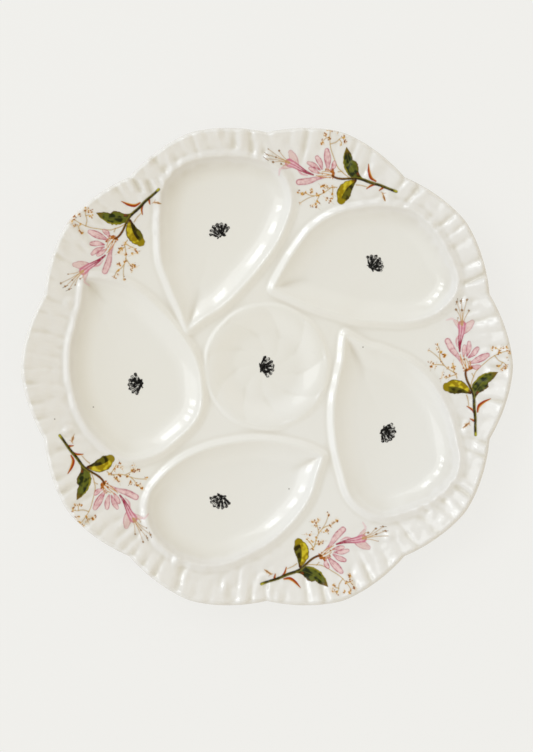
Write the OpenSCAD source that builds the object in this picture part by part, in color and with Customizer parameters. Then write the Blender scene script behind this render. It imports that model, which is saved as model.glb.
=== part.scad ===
// Oyster plate: a ten-lobed, fluted ceramic plate with five well-shaped hollows round a scalloped middle
// well, a foot ring underneath, five flower sprays round the rim and a small shell mark in each hollow.
// Millimetres, +Z up. The origin is on the table, at the middle of the foot ring.

/* [Plate] */
// Width across two opposite lobes
plate_w = 235; // [225:1:245]
// Depth of the notch between two lobes
notch_depth = 5.6; // [3:0.1:7]
// Height of the rim above the table
rim_h = 22; // [20:0.5:25]
// Height of the plain ground between the wells, at the middle of the plate
ground_h = 11.3; // [11:0.1:12.5]
// Thickness of the body under the wells
body_t = 4.6; // [4:0.1:5]
// Thickness of the rim at its edge
edge_t = 3.6; // [3:0.1:4.2]

/* [Wells] */
// Distance from the middle of the plate to the middle of a well
well_ring_r = 67.5; // [66.5:0.1:68.5]
// Reach of a well from its middle to its pointed end
well_reach = 49; // [47:0.5:50]
// Width of the sloping wall inside a well
wall_w = 9; // [8:0.5:11]
// Height of the bead round a well
bead_h = 1.4; // [0.8:0.1:1.6]
// Width of the bead's outer slope
bead_w = 4.2; // [3.2:0.1:4.6]
// Rise of a well's floor from its middle to its wall
dish_h = 1.6; // [1:0.1:1.8]

/* [Middle well] */
// Radius of the middle well at the top of its bead
middle_r = 28.6; // [27.5:0.1:29]
// Depth of the middle well below the plain ground
middle_depth = 1.8; // [1.4:0.1:2.6]
// Width of the middle well's sloping wall
middle_wall_w = 14; // [12:0.5:16]
// Height of the bead round the middle well
middle_bead_h = 0.7; // [0.4:0.1:1]
// Width of that bead's outer slope
middle_bead_w = 2.9; // [2.5:0.1:3.2]
// Height of the swirled petals above the grooves between them
petal_relief = 0.4; // [0.2:0.1:0.6]

/* [Rim] */
// Height of a flute's crest above its valley
flute_h = 1.1; // [0.6:0.1:1.3]
// Length of the flutes, inward from the tips of the lobes
flute_run = 22; // [18:1:24]
// Radius of the small boss behind each notch
boss_r = 3.6; // [3:0.1:4]
// Height of that boss
boss_h = 0.8; // [0.5:0.1:1]
// Distance from a notch inward to the middle of its boss
boss_gap = 12.3; // [11:0.1:13.5]
// Least width of the outer band in which the columns of points run straight out to the edge
rim_band_w = 2.8; // [2:0.2:4]

/* [Foot] */
// Outer width of the foot ring
foot_w = 134; // [128:1:138]
// Width of the ring's wall at the top
foot_wall = 4.5; // [3.5:0.5:6]
// Height of the foot ring
foot_h = 3.6; // [3.2:0.1:4]
// Bevel at the ring's lower edges
foot_bevel = 0.8; // [0.4:0.1:1.2]
// Distance from the foot ring to where the underside starts to rise
foot_margin = 2; // [1:0.5:4]
// Width of the band in which the underside starts to rise
lift_w = 18; // [14:1:22]

/* [Prints] */
// Thickness of a print
print_t = 0.12; // [0.1:0.01:0.2]
// Clearance of a print above the body, where the glaze lies between them
print_gap = 0.32; // [0.3:0.01:0.4]
// Length of a flower spray from the cut end of its stem to its farthest stamen
spray_len = 62; // [56:1:64]
// Least distance from the rim's edge to the outermost berries of a spray
spray_edge_gap = 2; // [1.8:0.1:3]
// Width of a shell mark
shell_w = 11.5; // [9:0.5:14]

/* [Hidden] */
SPRAYS = 5;
WELLS = 5;
SPRAY_PIECES = ["stem", "leaves", "blossom", "berries"];

// Counts
lobe_count = 10;
flutes_per_lobe = 8;
petal_count = 9;
rim_columns = 160;
middle_columns = 72;
seam_steps = 11;
table_step = 2;
petal_sweep = 52;

// Glaze, clay and print colours
glaze_color = "#e4e0d5";
clay_color = "#d9d2c2";
stem_color = "#4b4618";
leaf_color = "#4a5024";
blossom_color = "#c98aa0";
berry_color = "#b9732f";
ink_color = "#2e2c2b";

// Derived sizes
tip_r = plate_w / 2;
floor_h = foot_h + body_t;
edge_round = edge_t / 2;
field_r = tip_r - notch_depth - edge_round - rim_band_w;
boss_ring_r = tip_r - notch_depth - boss_gap;
middle_field_r = middle_r + middle_bead_w;
flute_start_r = tip_r - flute_run;
foot_r = foot_w / 2;
lift_r = foot_r + foot_margin;
lobe_pitch = 360 / lobe_count;
rim_step = 360 / rim_columns;
middle_step = 360 / middle_columns;

// The wells, counted counter-clockwise from the upper right: the direction of each from the middle of the
// plate, the direction in which its pointed end lies from its own middle, and its place and reach.
well_turns = [44.8, 110.8, 184.8, 254.1, 332.4];
well_headings = [194.9, 254.7, 115.4, 26.1, 113.9];
well_place_shares = [1.047, 1.03, 0.955, 1.0, 0.966];
well_reach_shares = [0.985, 1.0, 1.08, 1.02, 1.01];

// Directions round a well, from its pointed end, and the outline's reach in each of them
outline_turns = [0, 7, 18, 36, 60, 85, 110, 130, 150, 170, 192, 215, 240, 265, 290, 315, 340, 353, 360];
outline_shares = [
    [1, 0.89, 0.76, 0.63, 0.58, 0.59, 0.7, 0.82, 0.87, 0.76, 0.69, 0.65, 0.58, 0.55, 0.59, 0.67, 0.79, 0.91, 1],
    [1, 0.87, 0.76, 0.63, 0.56, 0.58, 0.68, 0.81, 0.85, 0.78, 0.72, 0.71, 0.68, 0.57, 0.54, 0.6, 0.72, 0.86, 1],
    [1, 0.85, 0.73, 0.63, 0.56, 0.55, 0.59, 0.65, 0.73, 0.72, 0.68, 0.68, 0.62, 0.59, 0.59, 0.67, 0.85, 0.95, 1],
    [1, 0.92, 0.8, 0.67, 0.57, 0.55, 0.59, 0.66, 0.76, 0.78, 0.73, 0.66, 0.58, 0.52, 0.54, 0.62, 0.79, 0.9, 1],
    [1, 0.83, 0.7, 0.59, 0.52, 0.52, 0.6, 0.75, 0.83, 0.8, 0.79, 0.77, 0.65, 0.6, 0.61, 0.67, 0.76, 0.86, 1]
];

// Shares of the plate's shape
ground_rise_power = 4;
wall_power = 0.7;
notch_power = 1.4;
floor_tilt_share = 0.6;
flute_least_share = 0.6;
middle_scallop_share = 0.02;

// Directions of the sprays' stem ends from the middle of the plate, each spray's own tilt, and how far from
// the rim's edge its outermost berries lie
spray_turns = [53.5, 121.4, 198.4, 268.6, 341.9];
spray_tilts = [0, -5.7, 1.6, 4.1, 3.7];
spray_gap_shares = [1, 1.46, 1.35, 2.24, 1.6];

// Places of the berries along a spray and outward from its stem end, as shares of its length. The two that
// OUTER_BERRIES names come nearest the rim's edge.
OUTER_BERRIES = [2, 4];
berry_place_shares = [
    [0.69, 0.02], [0.68, -0.04], [0.57, 0.1], [0.55, 0.04], [0.67, 0.065], [0.045, -0.085],
    [0.47, -0.3], [0.53, -0.385], [0.59, -0.45], [0.44, -0.46], [0.36, -0.36]
];

// How far each mark lies from the middle of its well, as shares of the well's reach
mark_shift_shares = [[0.03, -0.01], [0.04, 0], [0.03, -0.06], [-0.08, 0.01], [0, -0.03]];

// Plain helpers
function mix(a, b, t) = a + (b - a) * t;
function limit(t) = max(0, min(1, t));
function ease(t) = let (u = limit(t)) u * u * (3 - 2 * u);
function polar(r, turn) = [r * cos(turn), r * sin(turn)];
function turn_of(p) = atan2(p.y, p.x);
function wrap(turn) = turn - 360 * floor(turn / 360);
function least(values) = [for (i = [0:len(values) - 1]) if (values[i] == min(values)) i][0];
function flat(lists) = [for (list = lists) each list];

// The outline of well k: its reach at a turn from its pointed end, on a smooth curve through the shares
function knot_slope(s, i) =
    let (n = len(outline_turns) - 1, t = outline_turns)
    i == 0 ? (s[1] - s[0]) / (t[1] - t[0]) :
    i == n ? (s[n] - s[n - 1]) / (t[n] - t[n - 1]) :
    let (before = t[i] - t[i - 1], after = t[i + 1] - t[i])
    ((s[i] - s[i - 1]) / before * after + (s[i + 1] - s[i]) / after * before) / (before + after);
function outline_share(s, turn) =
    let (
        i = max([for (j = [0:len(outline_turns) - 2]) if (outline_turns[j] <= turn) j]),
        run = outline_turns[i + 1] - outline_turns[i],
        u = (turn - outline_turns[i]) / run
    )
    s[i] * (1 + u * u * (2 * u - 3)) + s[i + 1] * u * u * (3 - 2 * u)
    + run * u * (1 - u) * (knot_slope(s, i) * (1 - u) - knot_slope(s, i + 1) * u);
reach_tables = [
    for (k = [0:WELLS - 1])
    let (reach = well_reach * well_reach_shares[k])
    [for (turn = [0:table_step:360]) reach * outline_share(outline_shares[k], turn)]
];
function reach_at(k, turn) =
    let (place = turn / table_step, i = min(floor(place), len(reach_tables[k]) - 2))
    mix(reach_tables[k][i], reach_tables[k][i + 1], place - i);

// How much farther a step across the outline is along the direction from the well's middle. The slope is
// taken over a run of outline that stays on its own side of the pointed end, and it is held there.
slope_run = 20;
stretch_most = 1.5;
function stretch_at(k, turn) =
    let (
        low = max(0, turn - slope_run),
        high = min(360, turn + slope_run),
        rise = (reach_at(k, high) - reach_at(k, low)) / ((high - low) * PI / 180)
    )
    min(stretch_most, norm([1, rise / reach_at(k, turn)]));
well_centres = [for (k = [0:WELLS - 1]) polar(well_ring_r * well_place_shares[k], well_turns[k])];

function own_turn(k, p) = wrap(turn_of(p - well_centres[k]) - well_headings[k]);
function radial_gap(k, p) = norm(p - well_centres[k]) - reach_at(k, own_turn(k, p));
function well_fill(k, p) = norm(p - well_centres[k]) / reach_at(k, own_turn(k, p));

// Distance of p outside the outline of well k, negative inside it. Near the outline it is measured to the
// outline's nearest straight piece.
outline_step = 4;
outline_count = 360 / outline_step;
near_count = 12;
near_share = 0.6;
outlines = [
    for (k = [0:WELLS - 1])
    [
        for (i = [0:outline_count - 1])
        well_centres[k] + polar(reach_at(k, i * outline_step), i * outline_step + well_headings[k])
    ]
];
function line_gap(p, a, b) =
    let (run = b - a, share = limit((p - a) * run / (run * run)))
    norm(p - a - share * run);
function well_gap(k, p) =
    let (gap = radial_gap(k, p), first = floor(own_turn(k, p) / outline_step) - near_count)
    abs(gap) > near_share * well_reach ? gap :
    sign(gap) * min([
        for (i = [first:first + 2 * near_count])
        let (a = (i + outline_count) % outline_count, b = (a + 1) % outline_count)
        line_gap(p, outlines[k][a], outlines[k][b])
    ]);

// The middle well's outline and the swirl of its petals
function petal_turn(p) = turn_of(p) - petal_sweep * norm(p) / middle_r;
function petal_share(p) = (1 - cos(petal_count * petal_turn(p))) / 2;
function middle_gap(p) = norm(p) - middle_r * (1 + middle_scallop_share * (petal_share(p) - 1));

// The plate's outline and the plain ground, which rises towards the rim
function lobe_turn(turn) = turn - lobe_pitch * round(turn / lobe_pitch);
function edge_r(turn) = tip_r - notch_depth * pow(abs(lobe_turn(turn)) / (lobe_pitch / 2), notch_power);
function ground_z(r) = ground_h + (rim_h - ground_h) * pow(min(1, r / tip_r), ground_rise_power);

// Flutes and bosses
function flute_share(p) =
    ease((norm(p) - flute_start_r) / flute_run)
    * mix(flute_least_share, 1, abs(lobe_turn(turn_of(p))) / (lobe_pitch / 2));
function flute_z(p) = -flute_h / 2 * flute_share(p) * cos(lobe_count * flutes_per_lobe * turn_of(p));
function boss_z(p, spread_r) =
    let (turn = lobe_turn(turn_of(p) + lobe_pitch / 2))
    boss_h * (1 - ease(norm([norm(p) * sin(turn), norm(p) * cos(turn) - boss_ring_r]) / spread_r));

// Heights inside the wells
function floor_z(k, p) =
    floor_h
    + floor_tilt_share * (ground_z(norm(p)) - ground_h)
    + dish_h * pow(min(1, well_fill(k, p)), 2);
function well_z(k, p, gap) =
    mix(ground_z(norm(p)) + bead_h, floor_z(k, p), ease(pow(limit(-gap / wall_w), wall_power)));
function middle_z(p, gap) =
    mix(ground_z(norm(p)) + middle_bead_h, ground_h - middle_depth, ease(-gap / middle_wall_w))
    + petal_relief * (petal_share(p) - 1) * ease(norm(p) / middle_r);

// The glazed top at p, or the smoother surface over the flutes' crests and the bosses that prints lie on
cover_share = 2;
function bead_z(gap, middle) =
    max(bead_h * (1 - ease(gap / bead_w)), middle_bead_h * (1 - ease(middle / middle_bead_w)));
function top_z(p, crests = false) =
    let (
        gaps = [for (k = [0:WELLS - 1]) well_gap(k, p)],
        k = least(gaps),
        middle = middle_gap(p)
    )
    gaps[k] < 0 ? well_z(k, p, gaps[k]) :
    middle < 0 ? middle_z(p, middle) :
    ground_z(norm(p))
    + bead_z(gaps[k], middle)
    + boss_z(p, boss_r * (crests ? cover_share : 1))
    + (crests ? flute_h / 2 * flute_share(p) : flute_z(p));

// The underside at p, which follows the wells outside the foot ring
function under_z(p) =
    let (
        gaps = [for (k = [0:WELLS - 1]) well_gap(k, p)],
        k = least(gaps),
        web = ease((gaps[k] + wall_w) / (wall_w + bead_w + body_t)),
        full = mix(floor_z(k, p) - dish_h - body_t, ground_z(norm(p)) - body_t, web)
    )
    foot_h + ease((norm(p) - lift_r) / lift_w) * max(0, full - foot_h);
function on_top(p) = [p.x, p.y, top_z(p)];
function on_under(p) = [p.x, p.y, under_z(p)];

// A seam runs midway between neighbouring wells, from the middle well's field out to the rim's
halvings = 24;
function midway(a, b, r, low, high, steps = halvings) =
    steps == 0 ? (low + high) / 2 :
    let (turn = (low + high) / 2, p = polar(r, turn), nearer = radial_gap(a, p) < radial_gap(b, p))
    midway(a, b, r, nearer ? turn : low, nearer ? high : turn, steps - 1);
function seam_turn(k, r) =
    let (next = (k + 1) % WELLS, low = well_turns[k], high = low + wrap(well_turns[next] - low))
    midway(k, next, r, low, high);
function seam(k) =
    let (
        inner = seam_turn(k, middle_field_r),
        outer = seam_turn(k, field_r),
        inner_shift = middle_step * round(inner / middle_step) - inner,
        outer_shift = rim_step * round(outer / rim_step) - outer
    )
    [
        for (i = [0:seam_steps])
        let (u = i / seam_steps, r = mix(middle_field_r, field_r, u))
        polar(r, seam_turn(k, r) + mix(inner_shift, outer_shift, u))
    ];
seams = [for (k = [0:WELLS - 1]) seam(k)];
function seam_column(k, at_rim) =
    at_rim ? round(wrap(turn_of(seams[k][seam_steps])) / rim_step)
    : round(wrap(turn_of(seams[k][0])) / middle_step);

// The closed border of well k's field: along the rim, in along a seam, along the middle and out again
function border(k) =
    let (
        before = (k + WELLS - 1) % WELLS,
        rim_from = seam_column(before, true),
        rim_run = (seam_column(k, true) - rim_from + rim_columns) % rim_columns,
        middle_from = seam_column(before, false),
        middle_run = (seam_column(k, false) - middle_from + middle_columns) % middle_columns
    )
    concat(
        [for (i = [0:rim_run]) rim_point((rim_from + i) % rim_columns)],
        [for (i = [seam_steps - 1:-1:1]) seams[k][i]],
        [for (i = [middle_run:-1:0]) middle_point((middle_from + i) % middle_columns)],
        [for (i = [1:seam_steps - 1]) seams[before][i]]
    );
function rim_point(i) = polar(field_r, rim_step * i);
function middle_point(i) = polar(middle_field_r, middle_step * i);

// Rows of points from that border in to the well's middle. The column nearest the pointed end meets it.
function field_turns(k, edge) =
    let (
        turns = [for (p = edge) wrap(turn_of(p - well_centres[k]) - well_headings[k])],
        nearest = least([for (turn = turns) min(turn, 360 - turn)])
    )
    [for (i = [0:len(turns) - 1]) i == nearest ? 0 : turns[i]];
function field_row(k, edge, turns, step, share = 1) = [
    for (i = [0:len(edge) - 1])
    let (
        reach = reach_at(k, turns[i]),
        border_r = norm(edge[i] - well_centres[k]),
        r = share * (reach + min(step * stretch_at(k, turns[i]), (border_r - reach) * border_share))
    )
    well_centres[k] + polar(r, turns[i] + well_headings[k])
];
border_share = 0.6;
function between(row_a, row_b) = [for (i = [0:len(row_a) - 1]) (row_a[i] + row_b[i]) / 2];

// Triangles between closed rows of equal length, from the outermost row in, clockwise seen from above
function row_faces(rows, columns, first) = [
    for (i = [0:rows - 2], j = [0:columns - 1])
    let (a = first + i * columns, b = a + columns, next = (j + 1) % columns)
    each [[a + j, b + j, b + next], [a + j, b + next, a + next]]
];
function fan_faces(row_start, columns, centre) = [
    for (j = [0:columns - 1]) [row_start + j, centre, row_start + (j + 1) % columns]
];
function turned_over(faces) = [for (f = faces) [f[2], f[1], f[0]]];
function patch(rows, centre = undef, over = false) =
    let (
        columns = len(rows[0]),
        closed = !is_undef(centre),
        faces = concat(
            row_faces(len(rows), columns, 0),
            closed ? fan_faces((len(rows) - 1) * columns, columns, len(rows) * columns) : []
        )
    )
    [concat(flat(rows), closed ? [centre] : []), over ? turned_over(faces) : faces];
function lifted(rows) = [for (row = rows) [for (p = row) on_top(p)]];
function lowered(rows) = [for (row = rows) [for (p = row) on_under(p)]];

// Steps of the rows from a well's outline: the bead outside it, then the wall inside it
bead_step_shares = [1, 0.45, 0];
wall_step_shares = [0.25, 0.6, 1];
floor_row_share = 0.5;
function well_patch(k) =
    let (
        edge = border(k),
        turns = field_turns(k, edge),
        bead_rows = [for (s = bead_step_shares) field_row(k, edge, turns, bead_w * s)],
        wall_rows = [for (s = wall_step_shares) field_row(k, edge, turns, -wall_w * s)],
        floor_row = field_row(k, edge, turns, -wall_w, floor_row_share)
    )
    patch(
        lifted(concat([edge, between(edge, bead_rows[0])], bead_rows, wall_rows, [floor_row])),
        on_top(well_centres[k])
    );
function well_under_patch(k) =
    let (edge = border(k), turns = field_turns(k, edge))
    patch(
        lowered([
            edge,
            field_row(k, edge, turns, bead_w + body_t),
            field_row(k, edge, turns, -wall_w * floor_row_share),
            field_row(k, edge, turns, -wall_w)
        ]),
        on_under(well_centres[k]),
        true
    );

// The middle well: rows from its field's edge in
middle_row_shares = [0.94, 0.84, 0.7, 0.45];
function middle_row(r) = [for (i = [0:middle_columns - 1]) polar(r, middle_step * i)];
function middle_crest_row() = [for (p = middle_row(middle_r)) (1 - middle_gap(p) / middle_r) * p];
function inner_middle_rows() = [for (share = middle_row_shares) middle_row(share * middle_r)];
function middle_patch() = patch(
    lifted(concat([middle_row(middle_field_r), middle_crest_row()], inner_middle_rows())),
    on_top([0, 0])
);
function middle_under_patch() = patch(lowered([middle_row(middle_field_r)]), on_under([0, 0]), true);

// The rim, in rows from the wells' fields out over the rounded edge and back underneath
rim_row_shares = [0, 0.35, 0.7, 1];
roll_turns = [35, -35, -90];
function rim_in(turn) = edge_r(turn) - edge_round;
function rim_row(share) = [
    for (i = [0:rim_columns - 1]) polar(mix(field_r, rim_in(rim_step * i), share), rim_step * i)
];
function roll_row(turn) = [
    for (i = [0:rim_columns - 1])
    let (
        inner = polar(rim_in(rim_step * i), rim_step * i),
        p = polar(rim_in(rim_step * i) + edge_round * cos(turn), rim_step * i)
    )
    [p.x, p.y, top_z(inner) - edge_round * (1 - sin(turn))]
];
function rim_patch() =
    let (
        top_rows = [for (s = rim_row_shares) [for (p = rim_row(s)) on_top(p)]],
        roll_rows = [for (turn = roll_turns) roll_row(turn)],
        under_row = [for (p = rim_row(0)) on_under(p)]
    )
    patch(concat(top_rows, roll_rows, [under_row]), undef, true);

// Joins patches into the points and faces of one closed shell
function points_before(patches, n) = n == 0 ? 0 : len(patches[n - 1][0]) + points_before(patches, n - 1);
module shell(patches) {
    polyhedron(
        points = flat([for (p = patches) p[0]]),
        faces = flat([
            for (n = [0:len(patches) - 1])
            let (first = points_before(patches, n))
            [for (f = patches[n][1]) [f[0] + first, f[1] + first, f[2] + first]]
        ])
    );
}

module plate_body() {
    color(glaze_color)
    shell(concat(
        [for (k = [0:WELLS - 1]) well_patch(k)],
        [middle_patch(), rim_patch()],
        [for (k = [0:WELLS - 1]) well_under_patch(k)],
        [middle_under_patch()]
    ));
}

module foot_ring() {
    inner_r = foot_r - foot_wall;
    color(clay_color)
    rotate_extrude($fn = 128)
    polygon([
        [inner_r, foot_h],
        [inner_r, foot_bevel],
        [inner_r + foot_bevel, 0],
        [foot_r - foot_bevel, 0],
        [foot_r, foot_bevel],
        [foot_r, foot_h]
    ]);
}

// A print is a thin sheet that lies over the glaze. Its rows of points run across it, from end to end. Each
// point is lifted by as much as the glaze bulges above the straight lines to the points next to it.
SHEET_STEPS = [[-1, 0], [1, 0], [0, -1], [0, 1], [1, 1], [-1, -1]];
function print_z(p) = top_z(p, true) + print_gap;
module print_sheet(rows) {
    n = len(rows);
    m = len(rows[0]);
    heights = [for (row = rows) [for (p = row) print_z(p)]];
    low = [
        for (i = [0:n - 1], j = [0:m - 1])
        let (
            p = rows[i][j],
            bulges = [
                for (step = SHEET_STEPS)
                let (a = i + step.x, b = j + step.y)
                if (a >= 0 && a < n && b >= 0 && b < m)
                print_z((p + rows[a][b]) / 2) - (heights[i][j] + heights[a][b]) / 2
            ]
        )
        [p.x, p.y, heights[i][j] + max(0, max(bulges))]
    ];
    high = [for (p = low) p + [0, 0, print_t]];
    half = n * m;
    rim = concat(
        [for (j = [0:m - 2]) j],
        [for (i = [0:n - 2]) i * m + m - 1],
        [for (j = [m - 1:-1:1]) (n - 1) * m + j],
        [for (i = [n - 1:-1:1]) i * m]
    );
    sheet = [
        for (i = [0:n - 2], j = [0:m - 2])
        let (a = i * m + j, b = a + m)
        each [[a, b, b + 1], [a, b + 1, a + 1]]
    ];
    walls = [
        for (i = [0:len(rim) - 1])
        let (a = rim[i], b = rim[(i + 1) % len(rim)])
        each [[a, b + half, b], [a, a + half, b + half]]
    ];
    polyhedron(
        points = concat(low, high),
        faces = concat(
            turned_over(sheet),
            [for (f = sheet) [f[0] + half, f[1] + half, f[2] + half]],
            walls
        )
    );
}

// A curved blade from one end to the other through a bend, in the frame of spray k
function bend_point(line, u) = mix(mix(line[0], line[1], u), mix(line[1], line[2], u), u);
function bend_side(line, u) =
    let (v = mix(line[1] - line[0], line[2] - line[1], u))
    [-v.y, v.x] / norm(v);
function tilted(p, tilt) = [p.x * cos(tilt) + p.y * sin(tilt), p.y * cos(tilt) - p.x * sin(tilt)];
spray_rs = [
    for (k = [0:SPRAYS - 1])
    min([
        for (i = OUTER_BERRIES)
        let (
            berry = tilted(spray_len * berry_place_shares[i], spray_tilts[k]),
            far_r = tip_r - spray_edge_gap * spray_gap_shares[k]
        )
        sqrt(far_r * far_r - berry.x * berry.x) - berry.y
    ])
];
function spray_place(k, p) =
    let (q = tilted(p, spray_tilts[k]), out = polar(1, spray_turns[k]), along = [-out.y, out.x])
    (spray_rs[k] + q.y) * out + q.x * along;
function blade_rows(k, line, width_shares, width, across) = [
    for (i = [0:len(width_shares) - 1])
    let (
        u = i / (len(width_shares) - 1),
        centre = spray_len * bend_point(line, u),
        side = bend_side(line, u) * width / 2 * width_shares[i]
    )
    [for (j = [0:across - 1]) spray_place(k, centre + side * mix(-1, 1, j / (across - 1)))]
];
module blade(k, line, width_shares, width, across = 2) {
    print_sheet(blade_rows(k, line, width_shares, width, across));
}

// A spray's stems: the main stem in two runs, the pointed bracts and the two berry stalks.
// Places are along the spray and outward from its stem end, as shares of the spray's length.
stem_w = 0.9;
stalk_w = 0.35;
bract_w = 0.9;
stem_width_shares = [1.5, 1.1, 1, 1, 1, 1, 1, 0.9];
stalk_width_shares = [1, 1, 1, 1, 1, 1, 1];
bract_width_shares = [0.9, 1, 0.6, 0.15];
main_stem_shares = [
    [[0, 0], [0.15, -0.035], [0.275, -0.085]],
    [[0.285, -0.091], [0.37, -0.13], [0.46, -0.2]]
];
stalk_shares = [
    [[0.38, -0.11], [0.56, -0.05], [0.63, 0.05]],
    [[0.41, -0.3], [0.46, -0.38], [0.54, -0.49]]
];
bract_shares = [
    [[0.165, -0.02], [0.235, -0.02], [0.285, 0.045]],
    [[0.155, -0.075], [0.17, -0.085], [0.195, -0.11]],
    [[0.1, -0.06], [0.11, -0.075], [0.115, -0.095]]
];
module spray_stem(k) {
    color(stem_color) {
        for (line = main_stem_shares) blade(k, line, stem_width_shares, stem_w);
        for (line = stalk_shares) blade(k, line, stalk_width_shares, stalk_w);
        for (line = bract_shares) blade(k, line, bract_width_shares, bract_w);
    }
}

// Its two leaves, the outer one notched
leaf_w = 7.4;
leaf_width_shares = [0.06, 0.62, 0.95, 1, 0.72, 0.45, 0.06];
inner_leaf_width_shares = [0.1, 0.6, 0.9, 1, 0.95, 0.7, 0.15];
leaf_shares = [[0.295, -0.07], [0.41, -0.03], [0.5, 0.04]];
inner_leaf_shares = [[0.315, -0.13], [0.32, -0.22], [0.3, -0.325]];
module spray_leaves(k) {
    color(leaf_color) {
        blade(k, leaf_shares, leaf_width_shares, leaf_w, 3);
        blade(k, inner_leaf_shares, inner_leaf_width_shares, leaf_w, 3);
    }
}

// The blossom: a fan of petals, then a trumpet with its two lips and the stamens that reach out of it
petal_w = 3;
petal_width_shares = [0.25, 0.6, 1, 1, 0.45];
petal_shares = [
    [[0.52, -0.165], [0.53, -0.14], [0.535, -0.105]],
    [[0.54, -0.185], [0.575, -0.12], [0.605, -0.06]],
    [[0.553, -0.2], [0.6, -0.165], [0.635, -0.14]],
    [[0.56, -0.225], [0.61, -0.215], [0.66, -0.205]],
    [[0.545, -0.27], [0.59, -0.34], [0.64, -0.37]]
];
trumpet_w = 4.6;
trumpet_width_shares = [0.12, 0.3, 0.45, 0.7, 1];
trumpet_shares = [[0.585, -0.26], [0.66, -0.28], [0.775, -0.3]];
lip_w = 3.4;
lip_width_shares = [0.8, 0.95, 1, 0.97, 0.85, 0.65, 0.4];
lip_shares = [
    [[0.79, -0.27], [0.81, -0.25], [0.83, -0.225]],
    [[0.79, -0.335], [0.8, -0.36], [0.8, -0.39]]
];
stamen_w = 0.35;
stamen_width_shares = [1, 1, 1.6];
stamen_shares = [
    [[0.85, -0.29], [0.89, -0.28], [0.91, -0.27]],
    [[0.85, -0.31], [0.92, -0.32], [0.98, -0.32]],
    [[0.85, -0.335], [0.91, -0.355], [0.96, -0.36]],
    [[0.845, -0.355], [0.87, -0.375], [0.89, -0.385]]
];
module spray_blossom(k) {
    color(blossom_color) {
        for (line = petal_shares) blade(k, line, petal_width_shares, petal_w);
        blade(k, trumpet_shares, trumpet_width_shares, trumpet_w, 3);
        for (line = lip_shares) blade(k, line, lip_width_shares, lip_w, 3);
        for (line = stamen_shares) blade(k, line, stamen_width_shares, stamen_w);
    }
}

// Berries in two bunches, and a bud by the stem end: small round dots, each as steep as the surface under
// it and clear of it all round
berry_r = 0.9;
berry_probe_turn = 45;
module spray_berries(k) {
    color(berry_color)
    for (place = berry_place_shares) {
        p = spray_place(k, spray_len * place);
        slope = [
            for (step = [[berry_r, 0], [0, berry_r]])
            (print_z(p + step) - print_z(p - step)) / (2 * berry_r)
        ];
        z = max([
            for (turn = [0:berry_probe_turn:360], step = [[0, 0], polar(berry_r, turn)])
            print_z(p + step) - slope * step
        ]);
        translate([p.x, p.y, z])
        rotate([0, atan(norm(slope)), atan2(-slope.y, -slope.x)])
        cylinder(h = print_t, r = berry_r, $fn = 32);
    }
}

// A shell mark: a fan of ribs over a small hinge, with the hinge towards the middle of the plate
shell_ribs = 7;
shell_spread = 125;
rib_inner_share = 0.2;
rib_outer_share = 0.62;
rib_side_drop_share = 0.12;
rib_fill_share = 0.7;
hinge_shares = [[-0.2, 0], [0.2, 0]];
function shell_point(centre, turn, p) =
    centre
    + (p.y - rib_outer_share * shell_w / 2) * [cos(turn), sin(turn)]
    + p.x * [sin(turn), -cos(turn)];
module shell_mark(centre, turn) {
    rib_turn = shell_spread / shell_ribs;
    color(ink_color) {
        for (i = [0:shell_ribs - 1]) {
            lean = (i - (shell_ribs - 1) / 2) * rib_turn;
            side_share = abs(lean) / (shell_spread / 2);
            outer = shell_w * (rib_outer_share - rib_side_drop_share * side_share * side_share);
            half_turn = rib_turn / 2 * rib_fill_share;
            inner = shell_w * rib_inner_share;
            turns = [lean - half_turn, lean, lean + half_turn];
            print_sheet([
                for (r = [inner, (inner + outer) / 2, outer])
                [for (a = turns) shell_point(centre, turn, r * [sin(a), cos(a)])]
            ]);
        }
        hinge_rows = [for (step = [0, rib_inner_share / 2]) [
            for (share = hinge_shares) shell_point(centre, turn, shell_w * (share + [0, step]))
        ]];
        print_sheet(hinge_rows);
    }
}

plate_body();
foot_ring();
for (i = [1:SPRAYS]) {
    spray_stem(i - 1);
    spray_leaves(i - 1);
    spray_blossom(i - 1);
    spray_berries(i - 1);
}
for (i = [1:WELLS]) {
    mark_centre = well_centres[i - 1] + well_reach * mark_shift_shares[i - 1];
    shell_mark(mark_centre, well_turns[i - 1]);
}
shell_mark([0, 0], lobe_pitch / 4);  // shell_mark_middle
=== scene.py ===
"""Oyster plate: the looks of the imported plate, in metres, in the same frame as the CAD.

The plate is meshed from one height function: a plain ground that rises to the rim, a bead and a sloping
wall round each well, flutes, bosses and a swirled middle well. The fired prints lie on the same function.
Shapes are worked out in millimetres and degrees, and become metres where a mesh is made.
"""

import math
import bpy
import numpy as np
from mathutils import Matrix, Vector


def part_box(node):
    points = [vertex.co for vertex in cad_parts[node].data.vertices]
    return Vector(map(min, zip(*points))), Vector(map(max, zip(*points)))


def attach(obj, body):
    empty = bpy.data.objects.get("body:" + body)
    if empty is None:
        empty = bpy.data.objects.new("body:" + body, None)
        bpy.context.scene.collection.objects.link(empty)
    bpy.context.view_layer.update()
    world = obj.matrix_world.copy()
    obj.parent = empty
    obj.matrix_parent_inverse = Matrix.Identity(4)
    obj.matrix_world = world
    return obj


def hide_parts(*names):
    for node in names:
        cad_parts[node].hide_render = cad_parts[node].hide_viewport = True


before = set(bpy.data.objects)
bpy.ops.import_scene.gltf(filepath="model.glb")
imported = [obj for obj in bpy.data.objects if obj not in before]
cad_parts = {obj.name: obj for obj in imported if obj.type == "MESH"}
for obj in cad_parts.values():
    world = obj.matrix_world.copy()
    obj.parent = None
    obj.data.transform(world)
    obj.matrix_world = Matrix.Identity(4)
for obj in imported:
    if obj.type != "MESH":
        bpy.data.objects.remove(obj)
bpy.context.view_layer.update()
scene = bpy.context.scene
MM = 0.001


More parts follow.
